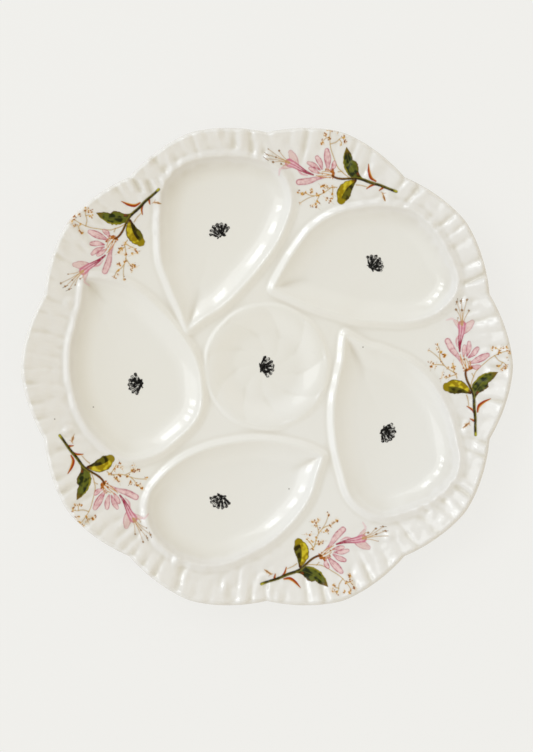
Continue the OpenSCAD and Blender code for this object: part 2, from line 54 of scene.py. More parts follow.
def linear(*srgb):
    """A colour written in 0-255 screen values, made linear for the shader"""
    return tuple(((c / 255 + 0.055) / 1.055) ** 2.4 if c > 10 else c / 255 / 12.92 for c in srgb)


# Camera: straight above the plate, in the photograph's frame, whose scale holds at SCALE_H
PHOTO_W = 533
PHOTO_H = 752
PLATE_PX = (266.8, 366.6)
MM_PER_PX = 0.4767
CAMERA_H = 2.6
SCALE_H = 0.015
SENSOR_W = 36.0
VIEW_END = 100

# Room: brighter and cooler on the window's side, and dim straight above
WINDOW_SIDE = (-0.88, 0.27, 0.38)
ROOM_NEAR = (0.96, 1.015, 1.145)
ROOM_FAR = (0.83, 0.735, 0.54)
OVERHEAD_SHARE = 0.25
OVERHEAD_START = 0.85

# Window: panes side by side, and a soft light above them, in metres and degrees
PANES = 4
PANE_W = 0.22
PANE_GAP = 0.18
PANE_H = 0.5
PANE_GLOW = 4.8
PANE_COLOR = (0.9, 0.96, 1.0)
WINDOW_TURN = 151.0
WINDOW_RISE = 46.0
WINDOW_AWAY = 2.3
SOFT_SIZE = (2.2, 1.0)
SOFT_GLOW = 1.35
SOFT_COLOR = (0.93, 0.97, 1.0)
SOFT_TURN = 156.0
SOFT_RISE = 52.0

# Floor, in metres
FLOOR_HALF = 30.0
FLOOR_COLOR = linear(240, 239, 235)
FLOOR_GLOW_SHARE = 0.9

# Plate, in millimetres from here on
LOW, HIGH = (np.array(corner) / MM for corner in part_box("plate_body"))
TIP_R = (HIGH[0] - LOW[0]) / 2
RIM_H = 22.0
GROUND_H = 11.3
GROUND_POWER = 4
BODY_T = 4.6
EDGE_T = 3.6
EDGE_ROUND = EDGE_T / 2
FOOT_H = 3.6
FLOOR_H = FOOT_H + BODY_T
LOBES = 10
LOBE_PITCH = 360 / LOBES
NOTCH_DEPTH = 5.6
NOTCH_POWER = 1.4

# Wells: direction from the middle, direction of the pointed end, distance and size of each
WELL_RING_R = 67.5
WELL_REACH = 49.0
WALL_W = 12.0
WALL_POWER = 0.5
BEAD_H = 1.4
BEAD_W = 4.2
DISH_H = 1.6
FLOOR_TILT = 0.6
WELL_TURNS = [44.8, 110.8, 184.8, 254.1, 332.4]
WELL_HEADINGS = [194.9, 254.7, 115.4, 26.1, 113.9]
WELL_PLACE_SHARES = [1.047, 1.03, 0.955, 1.0, 0.966]
WELL_REACH_SHARES = [0.985, 1.0, 1.08, 1.02, 1.01]
WELLS = len(WELL_TURNS)

# Outline of each well: shares of its reach, at turns from its pointed end
OUTLINE_TURNS = np.array(
    [0, 7, 18, 36, 60, 85, 110, 130, 150, 170, 192, 215, 240, 265, 290, 315, 340, 353, 360], dtype=float
)
OUTLINE_SHARES = np.array([
    [1, 0.89, 0.76, 0.63, 0.58, 0.59, 0.7, 0.82, 0.87, 0.76,
     0.69, 0.65, 0.58, 0.55, 0.59, 0.67, 0.79, 0.91, 1],
    [1, 0.87, 0.76, 0.63, 0.56, 0.58, 0.68, 0.81, 0.85, 0.78,
     0.72, 0.71, 0.68, 0.57, 0.54, 0.6, 0.72, 0.86, 1],
    [1, 0.85, 0.73, 0.63, 0.56, 0.55, 0.59, 0.65, 0.73, 0.72,
     0.68, 0.68, 0.62, 0.59, 0.59, 0.67, 0.85, 0.95, 1],
    [1, 0.92, 0.8, 0.67, 0.57, 0.55, 0.59, 0.66, 0.76, 0.78,
     0.73, 0.66, 0.58, 0.52, 0.54, 0.62, 0.79, 0.9, 1],
    [1, 0.83, 0.7, 0.59, 0.52, 0.52, 0.6, 0.75, 0.83, 0.8,
     0.79, 0.77, 0.65, 0.6, 0.61, 0.67, 0.76, 0.86, 1],
])

# Distance to an outline: the turn of its runs, how many are tried each way, and how near it is exact
OUTLINE_STEP = 1.0
OUTLINE_RUNS = 48
OUTLINE_NEAR = 30.0

# Middle well
MIDDLE_R = 28.6
MIDDLE_DEPTH = 1.8
MIDDLE_WALL_W = 14.0
MIDDLE_BEAD_H = 0.7
MIDDLE_BEAD_W = 2.9
MIDDLE_SCALLOP = 0.02
PETALS = 9
PETAL_RELIEF = 0.55
PETAL_SWEEP = 52.0
PETAL_POWER = 0.8

# Waves round the rim: their harmonics and a seed
DRIFT_WAVE = (range(7, 26), 3)
STRENGTH_WAVE = (range(11, 40), 5)
START_WAVE = (range(20, 60), 8)
FOLD_WAVE = (range(70, 136), 12)
BREAK_WAVE = (range(12, 40), 13)

# Flutes of the rim, finer folds between them, and bosses behind the notches
FLUTES = 8 * LOBES
FLUTE_H = 1.1
FLUTE_RUN = 22.0
FLUTE_LEAST = 0.6
FLUTE_DRIFT = 0.8
FLUTE_UNEVEN = 0.35
FLUTE_STRENGTHS = (0.3, 1.6)
FLUTE_START_DRIFT = 3
FLUTE_SECOND_SHARE = 0.3
RUFFLE_H = 0.17
RUFFLE_RUN = 26.0
RUFFLE_LEAST = 0.7
FOLD_SLANT = 0.12
BREAK_SLANT = 0.7
BREAK_MEAN = 0.5
BREAK_SWING = 0.9
BREAK_MOST = 2
BOSS_R = 3.6
BOSS_H = 0.8
BOSS_RING_R = 99.6

# Foot
FOOT_W = 134.0
FOOT_WALL = 4.5
FOOT_BEVEL = 0.8
FOOT_SINK = 0.2
FOOT_MARGIN = 2.0
LIFT_W = 18.0

# Height map, and how the glaze rounds the clay on it, in steps of the map
MAP_STEP = 0.5
MAP_HALF = 124.0
GLAZE_SOFTNESS = 0.9
UNDER_SOFTNESS = 2 * GLAZE_SOFTNESS
BLUR_REACH = 4

# Glaze: the heights between which the rim begins, its lumps there, and its hollows, which get painted shade
# where the glaze also pools
RIM_FROM = 12.5
RIM_TO = 16.5
LUMP_REACH = 1.3
LUMP_H = 0.075
LUMP_SEED = 31
SHADE_POOL_REACH = 2.2
SHADE_POOL_START = 0.12
SHADE_POOL_DEPTH = 0.4

# Meshes
COLUMNS = 1440
TOP_ROWS = 230
EDGE_ROWS = 13
UNDER_ROWS = 90
UNDER_BLEND_W = 6
CORE_SHARE = 0.004
FOOT_COLUMNS = 256
BEVEL_ROWS = 7
PRINT_LIFT = 0.05
PRINT_MARGIN = 0.15
PRINT_SLOPE_STEP = 0.1
EDGE_DROP_MOST = 0.98

# Sprays: the direction and distance of each stem end from the middle of the plate, and its own tilt
SPRAY_TURNS = [53.5, 121.4, 198.4, 268.6, 341.9]
SPRAY_RS = [103.8, 98.9, 104.0, 103.6, 104.7]
SPRAY_TILTS = [0.0, -5.7, 1.6, 4.1, 3.7]
SPRAY_LOW = (-3.0, -34.0)
SPRAY_HIGH = (64.0, 9.0)
SPRAY_SEED = 20
SPRAY_PARTS = {
    "stem": "stem_print",
    "leaves": "leaf_print",
    "blossom": "blossom_print",
    "berries": "berry_print",
}

# Shell marks: place, width, ribs and spread, then lengths as shares of the width
MARK_SHIFTS = [(1.5, -0.5), (2.0, 0.0), (1.5, -2.9), (-3.9, 0.5), (0.0, -1.5)]
MIDDLE_MARK_TURN = LOBE_PITCH / 4
MARK_SEED = 40
SHELL_W = 11.5
SHELL_RIBS = 7
SHELL_SPREAD = 125.0
HINGE_DROP = 0.31
EAR_REACH = 0.17
RIB_INNER = 0.14
RIB_OUTER = 0.62
RIB_SIDE_DROP = 0.12
GROWTH_LINES = (0.36, 0.5)
GROWTH_TURN = SHELL_SPREAD / 2.3
GROWTH_POINTS = 7

# Strokes of a rib: their places as shares of its pitch, how uneven their tips are, and the cap at its end
RIB_STROKES = (-0.27, 0.02, 0.28)
RIB_SHORTER = 0.25
RIB_UNEVEN = (0.4, 1.4)
CAP_PLACES = (-0.42, 0, 0.42)
CAP_END_SHARE = 0.93

# Paint grid: its cells, the size of its uneven blots, and the edges of strokes and dots
SPRAY_CELL = 0.25
MARK_CELL = 0.18
SPRAY_BLOT = 0.4
MARK_BLOT = 0.35
LEAF_BLOT = 0.55
LINE_RUNS = 6
STROKE_MARGIN = 1
STROKE_LEAST = 0.05
DOT_RUN = 0.01
DOT_MARGIN = 0.5
DOT_UNEVEN = 0.35
FAINTEST = 0.02
CORNERS = 4

# Glaze finish: colours, scales of noise a metre, and the height of its waves
CREAM = linear(232, 229, 219)
CREAM_WARM = linear(230, 226, 213)
CREAM_RIM = linear(227, 223, 213)
# The next colour is painted shade for the hollows, where the glaze also pools
CREAM_SHADED_POOLED = linear(216, 210, 194)
CLOUD_SCALE = 9.0
CLOUD_STOPS = (0.3, 0.7)
WAVE_SCALE = 55.0
WAVE_H = 0.06
GLAZE_ROUGHNESS = 0.07
GLAZE_IOR = 1.52
SPECKS = [(45.9, 9.3), (-101.0, -25.0), (10.6, -58.4), (-82.8, -19.3)]
SPECK_R = 0.55
SPECK_COLOR = linear(120, 104, 84)

# Finish of the prints and of the bare clay
PRINT_SPECULAR = 0.16
PRINT_GRAIN_SCALE = 2400.0
PRINT_GRAIN_LIFT = 0.55
CLAY_DARK = linear(205, 194, 172)
CLAY_PALE = linear(222, 214, 196)
CLAY_STOPS = (0.3, 0.7)
CLAY_GRAIN_SCALE = 900.0
CLAY_GRAIN_H = 0.3
CLAY_BUMP = 0.3
CLAY_ROUGHNESS = 0.8


# Shape of the plate
def ease(t):
    """0 below 0, 1 above 1, and a smooth change between them"""
    u = np.clip(t, 0, 1)
    return u * u * (3 - 2 * u)


def mix(a, b, t):
    return a + (b - a) * t


def lobe_turn(turn):
    """The turn away from the tip of the nearest lobe"""
    return turn - LOBE_PITCH * np.round(turn / LOBE_PITCH)


def edge_r(turn):
    return TIP_R - NOTCH_DEPTH * (np.abs(lobe_turn(turn)) / (LOBE_PITCH / 2)) ** NOTCH_POWER


def ground_z(r):
    return GROUND_H + (RIM_H - GROUND_H) * np.minimum(1, r / TIP_R) ** GROUND_POWER


def reach(well, turn):
    """How far the outline of a well reaches at a turn from its pointed end, through its shares"""
    shares = OUTLINE_SHARES[well]
    runs = np.diff(OUTLINE_TURNS)
    steps = np.diff(shares) / runs
    slopes = np.empty(len(shares))
    slopes[0] = steps[0]
    slopes[-1] = steps[-1]
    slopes[1:-1] = (steps[:-1] * runs[1:] + steps[1:] * runs[:-1]) / (runs[:-1] + runs[1:])
    i = np.clip(np.searchsorted(OUTLINE_TURNS, turn, side="right") - 1, 0, len(runs) - 1)
    u = (turn - OUTLINE_TURNS[i]) / runs[i]
    share = (
        shares[i] * (1 + u * u * (2 * u - 3))
        + shares[i + 1] * u * u * (3 - 2 * u)
        + runs[i] * u * (1 - u) * (slopes[i] * (1 - u) - slopes[i + 1] * u)
    )
    return WELL_REACH * WELL_REACH_SHARES[well] * share


def well_centre(well):
    turn = math.radians(WELL_TURNS[well])
    r = WELL_RING_R * WELL_PLACE_SHARES[well]
    return np.array([r * math.cos(turn), r * math.sin(turn)])


def well_gap(well, x, y):
    """Distance outside a well's outline, negative inside, and the share of the way out to it"""
    turns = np.arange(0, 360, OUTLINE_STEP)
    centre = well_centre(well)
    aim = np.radians(turns + WELL_HEADINGS[well])
    r = reach(well, turns)
    line = centre + np.stack([r * np.cos(aim), r * np.sin(aim)], axis=1)
    dx = x - centre[0]
    dy = y - centre[1]
    own = np.hypot(dx, dy)
    turn = (np.degrees(np.arctan2(dy, dx)) - WELL_HEADINGS[well]) % 360
    here = reach(well, turn)
    gap = own - here
    near = np.abs(gap) < OUTLINE_NEAR
    first = (turn[near] / OUTLINE_STEP).astype(int)
    px, py = x[near], y[near]
    best = np.full(px.shape, np.inf)
    for offset in range(-OUTLINE_RUNS, OUTLINE_RUNS + 1):
        a = line[(first + offset) % len(line)]
        b = line[(first + offset + 1) % len(line)]
        run = b - a
        share = ((px - a[:, 0]) * run[:, 0] + (py - a[:, 1]) * run[:, 1]) / (run ** 2).sum(axis=1)
        share = np.clip(share, 0, 1)
        away = np.hypot(px - a[:, 0] - share * run[:, 0], py - a[:, 1] - share * run[:, 1])
        best = np.minimum(best, away)
    gap[near] = np.sign(gap[near]) * best
    return gap, own / here


def ripple(turn, harmonics, seed):
    """A smooth wave round the plate of about unit height, without a seam"""
    source = np.random.default_rng(seed)
    total = np.zeros_like(turn)
    for n in harmonics:
        total += source.normal() * np.cos(np.radians(n * turn) + source.uniform(0, 2 * math.pi))
    return total / math.sqrt(len(harmonics) / 2)


def flutes(r, turn):
    """Folds of the rim that fade inward, weakest at the tips of the lobes, and a little uneven"""
    lean = np.abs(lobe_turn(turn)) / (LOBE_PITCH / 2)
    drift = FLUTE_DRIFT * ripple(turn, *DRIFT_WAVE)
    strength = 1 + FLUTE_UNEVEN * ripple(turn, *STRENGTH_WAVE)
    start = TIP_R - FLUTE_RUN - FLUTE_START_DRIFT * ripple(turn, *START_WAVE)
    fade = ease((r - start) / FLUTE_RUN)
    share = fade * mix(FLUTE_LEAST, 1, lean) * np.clip(strength, *FLUTE_STRENGTHS)
    beat = np.radians(FLUTES * turn)
    wave = np.cos(beat + drift) + FLUTE_SECOND_SHARE * np.cos(2 * beat + 2 * drift)
    return -FLUTE_H / 2 * share * wave


def ruffle(r, turn):
    """Finer folds between the flutes, broken up along and across the rim"""
    lean = ease(np.abs(lobe_turn(turn)) / (LOBE_PITCH / 2))
    share = ease((r - TIP_R + RUFFLE_RUN) / (RUFFLE_RUN / 2)) * mix(RUFFLE_LEAST, 1, lean)
    folds = ripple(turn + FOLD_SLANT * (r - TIP_R), *FOLD_WAVE)
    breaks = BREAK_MEAN + BREAK_SWING * ripple(turn - BREAK_SLANT * (r - TIP_R), *BREAK_WAVE)
    return RUFFLE_H * share * folds * np.clip(breaks, 0, BREAK_MOST)


def bosses(r, turn):
    """A low round boss behind each notch"""
    away = np.radians(lobe_turn(turn + LOBE_PITCH / 2))
    return BOSS_H * (1 - ease(np.hypot(r * np.sin(away), r * np.cos(away) - BOSS_RING_R) / BOSS_R))


def heights(x, y):
    """The glazed top and the underside at points of the plate"""
    r = np.hypot(x, y)
    turn = np.degrees(np.arctan2(y, x))
    gaps, fills = zip(*[well_gap(k, x, y) for k in range(WELLS)])
    gaps = np.array(gaps)
    nearest = gaps.argmin(axis=0)
    gap = gaps.min(axis=0)
    fill = np.take_along_axis(np.array(fills), nearest[None], axis=0)[0]
    ground = ground_z(r)
    petal = np.radians(PETALS * (turn - PETAL_SWEEP * r / MIDDLE_R))
    petal_share = np.abs(np.sin(petal / 2)) ** PETAL_POWER
    middle_gap = r - MIDDLE_R * (1 + MIDDLE_SCALLOP * (petal_share - 1))
    well_bead = BEAD_H * (1 - ease(gap / BEAD_W))
    middle_bead = MIDDLE_BEAD_H * (1 - ease(middle_gap / MIDDLE_BEAD_W))
    bead = np.maximum(well_bead, middle_bead)
    plain = ground + bead + bosses(r, turn) + flutes(r, turn) + ruffle(r, turn)
    floor = FLOOR_H + FLOOR_TILT * (ground - GROUND_H) + DISH_H * np.minimum(1, fill) ** 2
    well = mix(ground + BEAD_H, floor, ease(np.clip(-gap / WALL_W, 0, 1) ** WALL_POWER))
    middle = mix(ground + MIDDLE_BEAD_H, GROUND_H - MIDDLE_DEPTH, ease(-middle_gap / MIDDLE_WALL_W))
    middle += PETAL_RELIEF * (petal_share - 1) * ease(r / MIDDLE_R)
    top = np.where(gap < 0, well, np.where(middle_gap < 0, middle, plain))
    web = ease((gap + WALL_W) / (WALL_W + BEAD_W + BODY_T))
    full = mix(floor - DISH_H - BODY_T, ground - BODY_T, web)
    lift_r = FOOT_W / 2 + FOOT_MARGIN
    under = FOOT_H + ease((r - lift_r) / LIFT_W) * np.maximum(0, full - FOOT_H)
    return top, under


def softened(field, sigma):
    """A field blurred by a sigma in steps of its grid"""
    half = int(BLUR_REACH * sigma)
    kernel = np.exp(-0.5 * (np.arange(-half, half + 1) / sigma) ** 2)
    kernel /= kernel.sum()
    for axis in (0, 1):
        padded = np.pad(field, [(half, half) if a == axis else (0, 0) for a in (0, 1)], mode="edge")
        field = sum(
            weight * np.take(padded, np.arange(i, i + field.shape[axis]), axis=axis)
            for i, weight in enumerate(kernel)
        )
    return field


class Surface:
    """Heights on a square map, read back with a smooth cubic blend"""

    def __init__(self):
        side = np.arange(-MAP_HALF, MAP_HALF + MAP_STEP / 2, MAP_STEP)
        x, y = np.meshgrid(side, side)
        top, under = heights(x.ravel(), y.ravel())
        self.top = self.lumpy(softened(top.reshape(x.shape), GLAZE_SOFTNESS))
        self.under = softened(under.reshape(x.shape), UNDER_SOFTNESS)
        # Painted shade: how hollow each spot is, which also stands for glaze pooled there
        hollow = softened(self.top, SHADE_POOL_REACH / MAP_STEP) - self.top
        self.shade_and_pool = np.clip((hollow - SHADE_POOL_START) / SHADE_POOL_DEPTH, 0, 1)

    @staticmethod
    def lumpy(top):
        """Heights with the glaze's small lumps on the raised rim"""
        source = np.random.default_rng(LUMP_SEED)
        field = softened(source.normal(size=top.shape), LUMP_REACH / MAP_STEP)
        return top + LUMP_H * ease((top - RIM_FROM) / (RIM_TO - RIM_FROM)) * field / field.std()

    @staticmethod
    def weights(u):
        """What each of four map points in a row adds, at a share of the way from the second to the third"""
        return [
            (-u ** 3 + 2 * u ** 2 - u) / 2,
            (3 * u ** 3 - 5 * u ** 2 + 2) / 2,
            (-3 * u ** 3 + 4 * u ** 2 + u) / 2,
            (u ** 3 - u ** 2) / 2,
        ]

    def at(self, field, x, y):
        across = (np.asarray(x) + MAP_HALF) / MAP_STEP
        up = (np.asarray(y) + MAP_HALF) / MAP_STEP
        i = np.clip(np.floor(across).astype(int), 1, field.shape[1] - 3)
        j = np.clip(np.floor(up).astype(int), 1, field.shape[0] - 3)
        wx = self.weights(across - i)
        wy = self.weights(up - j)
        return sum(wy[b] * wx[a] * field[j + b - 1, i + a - 1] for a in range(4) for b in range(4))

    def top_at(self, x, y):
        return self.at(self.top, x, y)

    def under_at(self, x, y):
        return self.at(self.under, x, y)

    def shade_and_pool_at(self, x, y):
        """How much painted shade a hollow gets, where the glaze also pools, 0 to 1"""
        return np.clip(self.at(self.shade_and_pool, x, y), 0, 1)

    def glazed_top(self, x, y):
        """Height of the glaze at points of the top, down the rounded edge too"""
        r = np.hypot(x, y)
        inner = edge_r(np.degrees(np.arctan2(y, x))) - EDGE_ROUND
        held = np.minimum(1, inner / np.maximum(r, 1))
        over = np.clip((r - inner) / EDGE_ROUND, 0, EDGE_DROP_MOST)
        return self.top_at(x * held, y * held) - EDGE_ROUND * (1 - np.sqrt(1 - over ** 2))


# Meshes of the clay
def add_mesh(name, points, faces):
    """A smooth mesh object from points in millimetres"""
    mesh = bpy.data.meshes.new(name)
    mesh.from_pydata((np.asarray(points) * MM).tolist(), [], faces)
    mesh.polygons.foreach_set("use_smooth", [True] * len(mesh.polygons))
    mesh.update()
    piece = bpy.data.objects.new(name, mesh)
    scene.collection.objects.link(piece)
    return piece


def set_shade_and_pool(piece, values):
    """Keep with each point the painted shade of its hollow, where the glaze also pools"""
    shade_and_pool = piece.data.attributes.new("shade_and_pool", "FLOAT", "POINT")
    shade_and_pool.data.foreach_set("value", np.asarray(values, dtype=np.float32))


def ring(r, aim, z):
    """Points all round the plate"""
    return np.stack([r * np.cos(aim), r * np.sin(aim), z], axis=1)


def ring_faces(rows, columns, over=False):
    """Faces between rings of points, each ring to the next, turned over where asked"""
    i, j = np.meshgrid(np.arange(rows - 1), np.arange(columns), indexing="ij")
    a = i * columns + j
    b = i * columns + (j + 1) % columns
    quads = np.stack([a, a + columns, b + columns, b], axis=-1).reshape(-1, 4)
    return (quads[:, ::-1] if over else quads).tolist()


def make_plate(surface):
    """One closed shell of rings: out over the top, round the edge, and in again below"""
    turns = np.arange(COLUMNS) * 360 / COLUMNS
    aim = np.radians(turns)
    inner = edge_r(turns) - EDGE_ROUND
    rows = []
    for share in np.linspace(CORE_SHARE, 1, TOP_ROWS):
        r = inner * share
        rows.append(ring(r, aim, surface.top_at(r * np.cos(aim), r * np.sin(aim))))
    edge_z = rows[-1][:, 2]
    for roll in np.linspace(90, -90, EDGE_ROWS)[1:]:
        r = inner + EDGE_ROUND * math.cos(math.radians(roll))
        rows.append(ring(r, aim, edge_z - EDGE_ROUND * (1 - math.sin(math.radians(roll)))))
    for share in np.linspace(1, CORE_SHARE, UNDER_ROWS)[1:]:
        r = inner * share
        under = np.minimum(surface.under_at(r * np.cos(aim), r * np.sin(aim)), edge_z - EDGE_T)
        blend = ease((1 - share) * TIP_R / UNDER_BLEND_W)
        rows.append(ring(r, aim, mix(edge_z - EDGE_T, under, blend)))
    points = np.concatenate(rows)
    faces = ring_faces(len(rows), COLUMNS)
    first_ring = list(range(COLUMNS))
    last_ring = list(range(len(points) - COLUMNS, len(points)))
    faces.append(first_ring)
    faces.append(last_ring[::-1])
    piece = add_mesh("plate", points, faces)
    # Painted shade in the hollows of the top, where the glaze also pools; none below
    shade_and_pool_values = surface.shade_and_pool_at(points[:, 0], points[:, 1])
    shade_and_pool_values[TOP_ROWS * COLUMNS:] = 0
    set_shade_and_pool(piece, shade_and_pool_values)
    return piece


def make_foot():
    """The foot ring turned with soft corners, its top sunk a little into the plate"""
    outer = FOOT_W / 2
    inner = outer - FOOT_WALL
    top = FOOT_H + FOOT_SINK
    profile = [(inner, top)]
    for middle, start in ((inner + FOOT_BEVEL, 180), (outer - FOOT_BEVEL, 270)):
        for turn in np.linspace(start, start + 90, BEVEL_ROWS):
            across = FOOT_BEVEL * math.cos(math.radians(turn))
            up = FOOT_BEVEL * math.sin(math.radians(turn))
            profile.append((middle + across, FOOT_BEVEL + up))
    profile.append((outer, top))
    aim = np.radians(np.arange(FOOT_COLUMNS) * 360 / FOOT_COLUMNS)
    rows = [ring(r, aim, np.full(FOOT_COLUMNS, z)) for r, z in profile]
    return add_mesh("foot", np.concatenate(rows), ring_faces(len(rows), FOOT_COLUMNS, over=True))


# Painting
def smooth_line(points):
    """A curve through the points, as short straight runs"""
    p = np.array(points, dtype=float)
    if len(p) == 2:
        return p
    before = np.concatenate([[2 * p[0] - p[1]], p[:-1]])
    after = np.concatenate([p[1:], [2 * p[-1] - p[-2]]])
    slopes = (after - before) / 2
    line = []
    for i in range(len(p) - 1):
        for u in np.linspace(0, 1, LINE_RUNS + 1)[:-1]:
            line.append(
                p[i] * (1 + u * u * (2 * u - 3)) + p[i + 1] * u * u * (3 - 2 * u)
                + u * (1 - u) * (slopes[i] * (1 - u) - slopes[i + 1] * u)
            )
    line.append(p[-1])
    return np.array(line)


def blend_colors(a, b, share):
    share = np.clip(share, 0, 1)[..., None]
    return np.asarray(a) * (1 - share) + np.asarray(b) * share


class Painting:
    """Colours laid over each other on a fine grid, and which print each spot belongs to"""

    def __init__(self, low, high, cell, parts, seed, blot):
        side_x = np.arange(low[0], high[0], cell)
        side_y = np.arange(low[1], high[1], cell)
        self.cell = cell
        self.x, self.y = np.meshgrid(side_x, side_y, indexing="ij")
        self.color = np.zeros((*self.x.shape, 3))
        self.cover = np.zeros(self.x.shape)
        self.shares = {part: np.zeros(self.x.shape) for part in parts}
        self.random = np.random.default_rng(seed)
        self.rough = self.blots(blot)

    def blots(self, size):
        """Smooth random values of about unit height, with blots of a size in millimetres"""
        field = softened(self.random.normal(size=self.x.shape), size / self.cell)
        return field / field.std()

    def lay(self, part, box, cover, color):
        """Paint over a box of the grid, in one colour or one for each spot"""
        kept = self.cover[box] * (1 - cover)
        total = kept + cover
        old = self.color[box] * kept[..., None]
        self.color[box] = (old + np.asarray(color) * cover[..., None]) / np.maximum(total, 1e-6)[..., None]
        self.cover[box] = total
        for name, share in self.shares.items():
            share[box] = share[box] * (1 - cover) + (cover if name == part else 0)

    def band(self, points, margin):
        """The box of spots near a curve, each with its place along it and its distance to the left of it"""
        line = smooth_line(points)
        corner = np.array([self.x[0, 0], self.y[0, 0]])
        low = line.min(axis=0) - margin
        high = line.max(axis=0) + margin
        first = np.maximum(0, np.floor((low - corner) / self.cell).astype(int))
        last = np.ceil((high - corner) / self.cell).astype(int) + 1
        box = (slice(first[0], last[0]), slice(first[1], last[1]))
        run = np.diff(line, axis=0)
        length = np.hypot(run[:, 0], run[:, 1])
        start = np.concatenate([[0], np.cumsum(length)])
        dx = self.x[box][..., None] - line[:-1, 0]
        dy = self.y[box][..., None] - line[:-1, 1]
        share = np.clip((dx * run[:, 0] + dy * run[:, 1]) / length ** 2, 0, 1)
        away = np.hypot(dx - share * run[:, 0], dy - share * run[:, 1])
        nearest = away.argmin(axis=-1)[..., None]
        side = np.take_along_axis(run[:, 0] * dy - run[:, 1] * dx, nearest, axis=-1)[..., 0]
        away = np.take_along_axis(away, nearest, axis=-1)[..., 0]
        share = np.take_along_axis(share, nearest, axis=-1)[..., 0]
        nearest = nearest[..., 0]
        return box, (start[nearest] + share * length[nearest]) / start[-1], np.sign(side) * away

    def stroke(self, part, points, widths, color, strength=1.0, soft=0.3, other=None, ragged=0.0):
        """A band of paint; widths run from end to end, and other ones may hold on the right"""
        box, u, away = self.band(points, max(widths) + STROKE_MARGIN)
        half = np.interp(u, np.linspace(0, 1, len(widths)), widths) / 2
        if other is not None:
            half = np.where(away > 0, half, np.interp(u, np.linspace(0, 1, len(other)), other) / 2)
        half = half * (1 + ragged * self.rough[box])
        cover = strength * np.clip(0.5 + (half - np.abs(away)) / soft, 0, 1)
        v = away / np.maximum(half, STROKE_LEAST)
        self.lay(part, box, cover, color(u, v, box) if callable(color) else linear(*color))

    def dot(self, part, centre, radius, color, strength, soft=0.35):
        """A small uneven blob of paint"""
        run = [centre, (centre[0] + DOT_RUN, centre[1])]
        box, _, away = self.band(run, radius * 2 + DOT_MARGIN)
        uneven = radius * (1 + DOT_UNEVEN * self.rough[box])
        cover = strength * np.clip(0.5 + (uneven - np.abs(away)) / soft, 0, 1)
        self.lay(part, box, cover, linear(*color))

    def shade(self, box, dark, light, field):
        """Colours between two, by a field of about unit height"""
        share = ease((field[box] + 1) / 2)[..., None]
        return np.array(linear(*dark)) * (1 - share) + np.array(linear(*light)) * share


# The spray's lines, in millimetres along it and outward from the cut end of its stem
STEM = [
    (0, -0.1), (3, -1), (8, -2.3), (12.7, -4), (16.6, -5.1), (19.2, -6.4), (21.8, -8.5), (24.4, -10.6),
    (27, -11.9), (28.9, -12.1)
]
TWIG_TO_LEAF = [(16, -5), (17.9, -4.8), (19.8, -4.3)]
BRACTS = [
    [(10.8, -1.9), (13.5, -2), (16, -0.3), (18.4, 2.5)],
    [(9.6, -3.1), (11.3, -4.8), (12.2, -7.4)],
    [(5.6, -1.6), (6.4, -2.8), (6.8, -4.5)],
]
BRACT_WIDTHS = [[0.8, 1.6, 1.3, 0.4], [0.7, 1.1, 0.5], [0.7, 1.1, 0.5]]
OUTER_LEAF = [(17.6, -4.9), (20.6, -4.9), (23.6, -3.7), (26.6, -2), (29.3, 0.2), (31.5, 2.6)]
OUTER_LEAF_NOTCHED = [0.6, 2.6, 4.4, 5.8, 6.6, 6.6, 3.8, 4, 3.7, 2.1, 0.3]
OUTER_LEAF_PLAIN = [0.8, 5, 6.8, 6.8, 5.4, 3.2, 0.3]
INNER_LEAF = [(18.7, -7.4), (19.5, -10), (19.9, -12.6), (19.7, -15), (19.2, -17), (18.7, -18.8)]
INNER_LEAF_YELLOW = [1.4, 3.6, 5.6, 6.9, 7.2, 6.6, 4.2]
INNER_LEAF_OLIVE = [1.2, 3, 4.6, 6, 6.6, 6.4, 4.2]
PETALS_LONG = [
    [(32.3, -11.2), (34.8, -8), (38.2, -4.1)],
    [(34.9, -12.4), (37.2, -10.7), (40, -9.5)],
    [(35.4, -13.4), (38.6, -13.3), (41.8, -14)],
    [(34.9, -14.9), (37, -15.2), (39.6, -15.6)],
    [(31.2, -10.1), (31.1, -8.3), (32, -6.5)],
]
WIDE_PETAL = [0.9, 1.8, 2.9, 3.4, 3.2, 2.2]
MIDDLE_PETAL = [0.9, 1.7, 2.5, 2.7, 2]
SLIM_PETAL = [0.8, 1.5, 2.3, 2.4, 1.6]
PETAL_WIDTHS = [WIDE_PETAL, MIDDLE_PETAL, SLIM_PETAL, SLIM_PETAL, SLIM_PETAL]
LOW_PETAL = [(30.9, -14.4), (34, -17.4), (36.6, -20.8), (40, -24)]
TRUMPET = [(36.6, -17.2), (40, -18.1), (43.4, -18.5), (46.4, -18.8), (49.2, -19.4)]
UPPER_LIP = [(45.2, -18.2), (48, -16.9), (51.6, -15)]
LOWER_LIP = [(46.4, -18.9), (48.8, -20.9), (50.2, -23.2)]
HANGING_LIP = [(49.5, -22.2), (50.8, -24.4), (49.6, -27)]
SIDE_LIP = [(46, -18.9), (44, -19.3), (41.4, -20.1), (38.6, -19)]
STAMENS = [
    [(48.8, -19.2), (54.8, -20), (61.2, -20.1)],
    [(48.8, -19.2), (54.3, -20.6), (60.1, -22.5)],
    [(49.1, -19.7), (54.3, -21.5), (59.2, -24.5)],
    [(49.1, -19.7), (52.7, -21.2), (55.6, -23.8)],
    [(49, -19), (52.7, -18.8), (56.5, -17.7)],
    [(49.2, -19.5), (52.4, -20), (55.8, -21.1)],
    [(49.2, -20.3), (50.4, -21.9), (52, -22.1)],
]
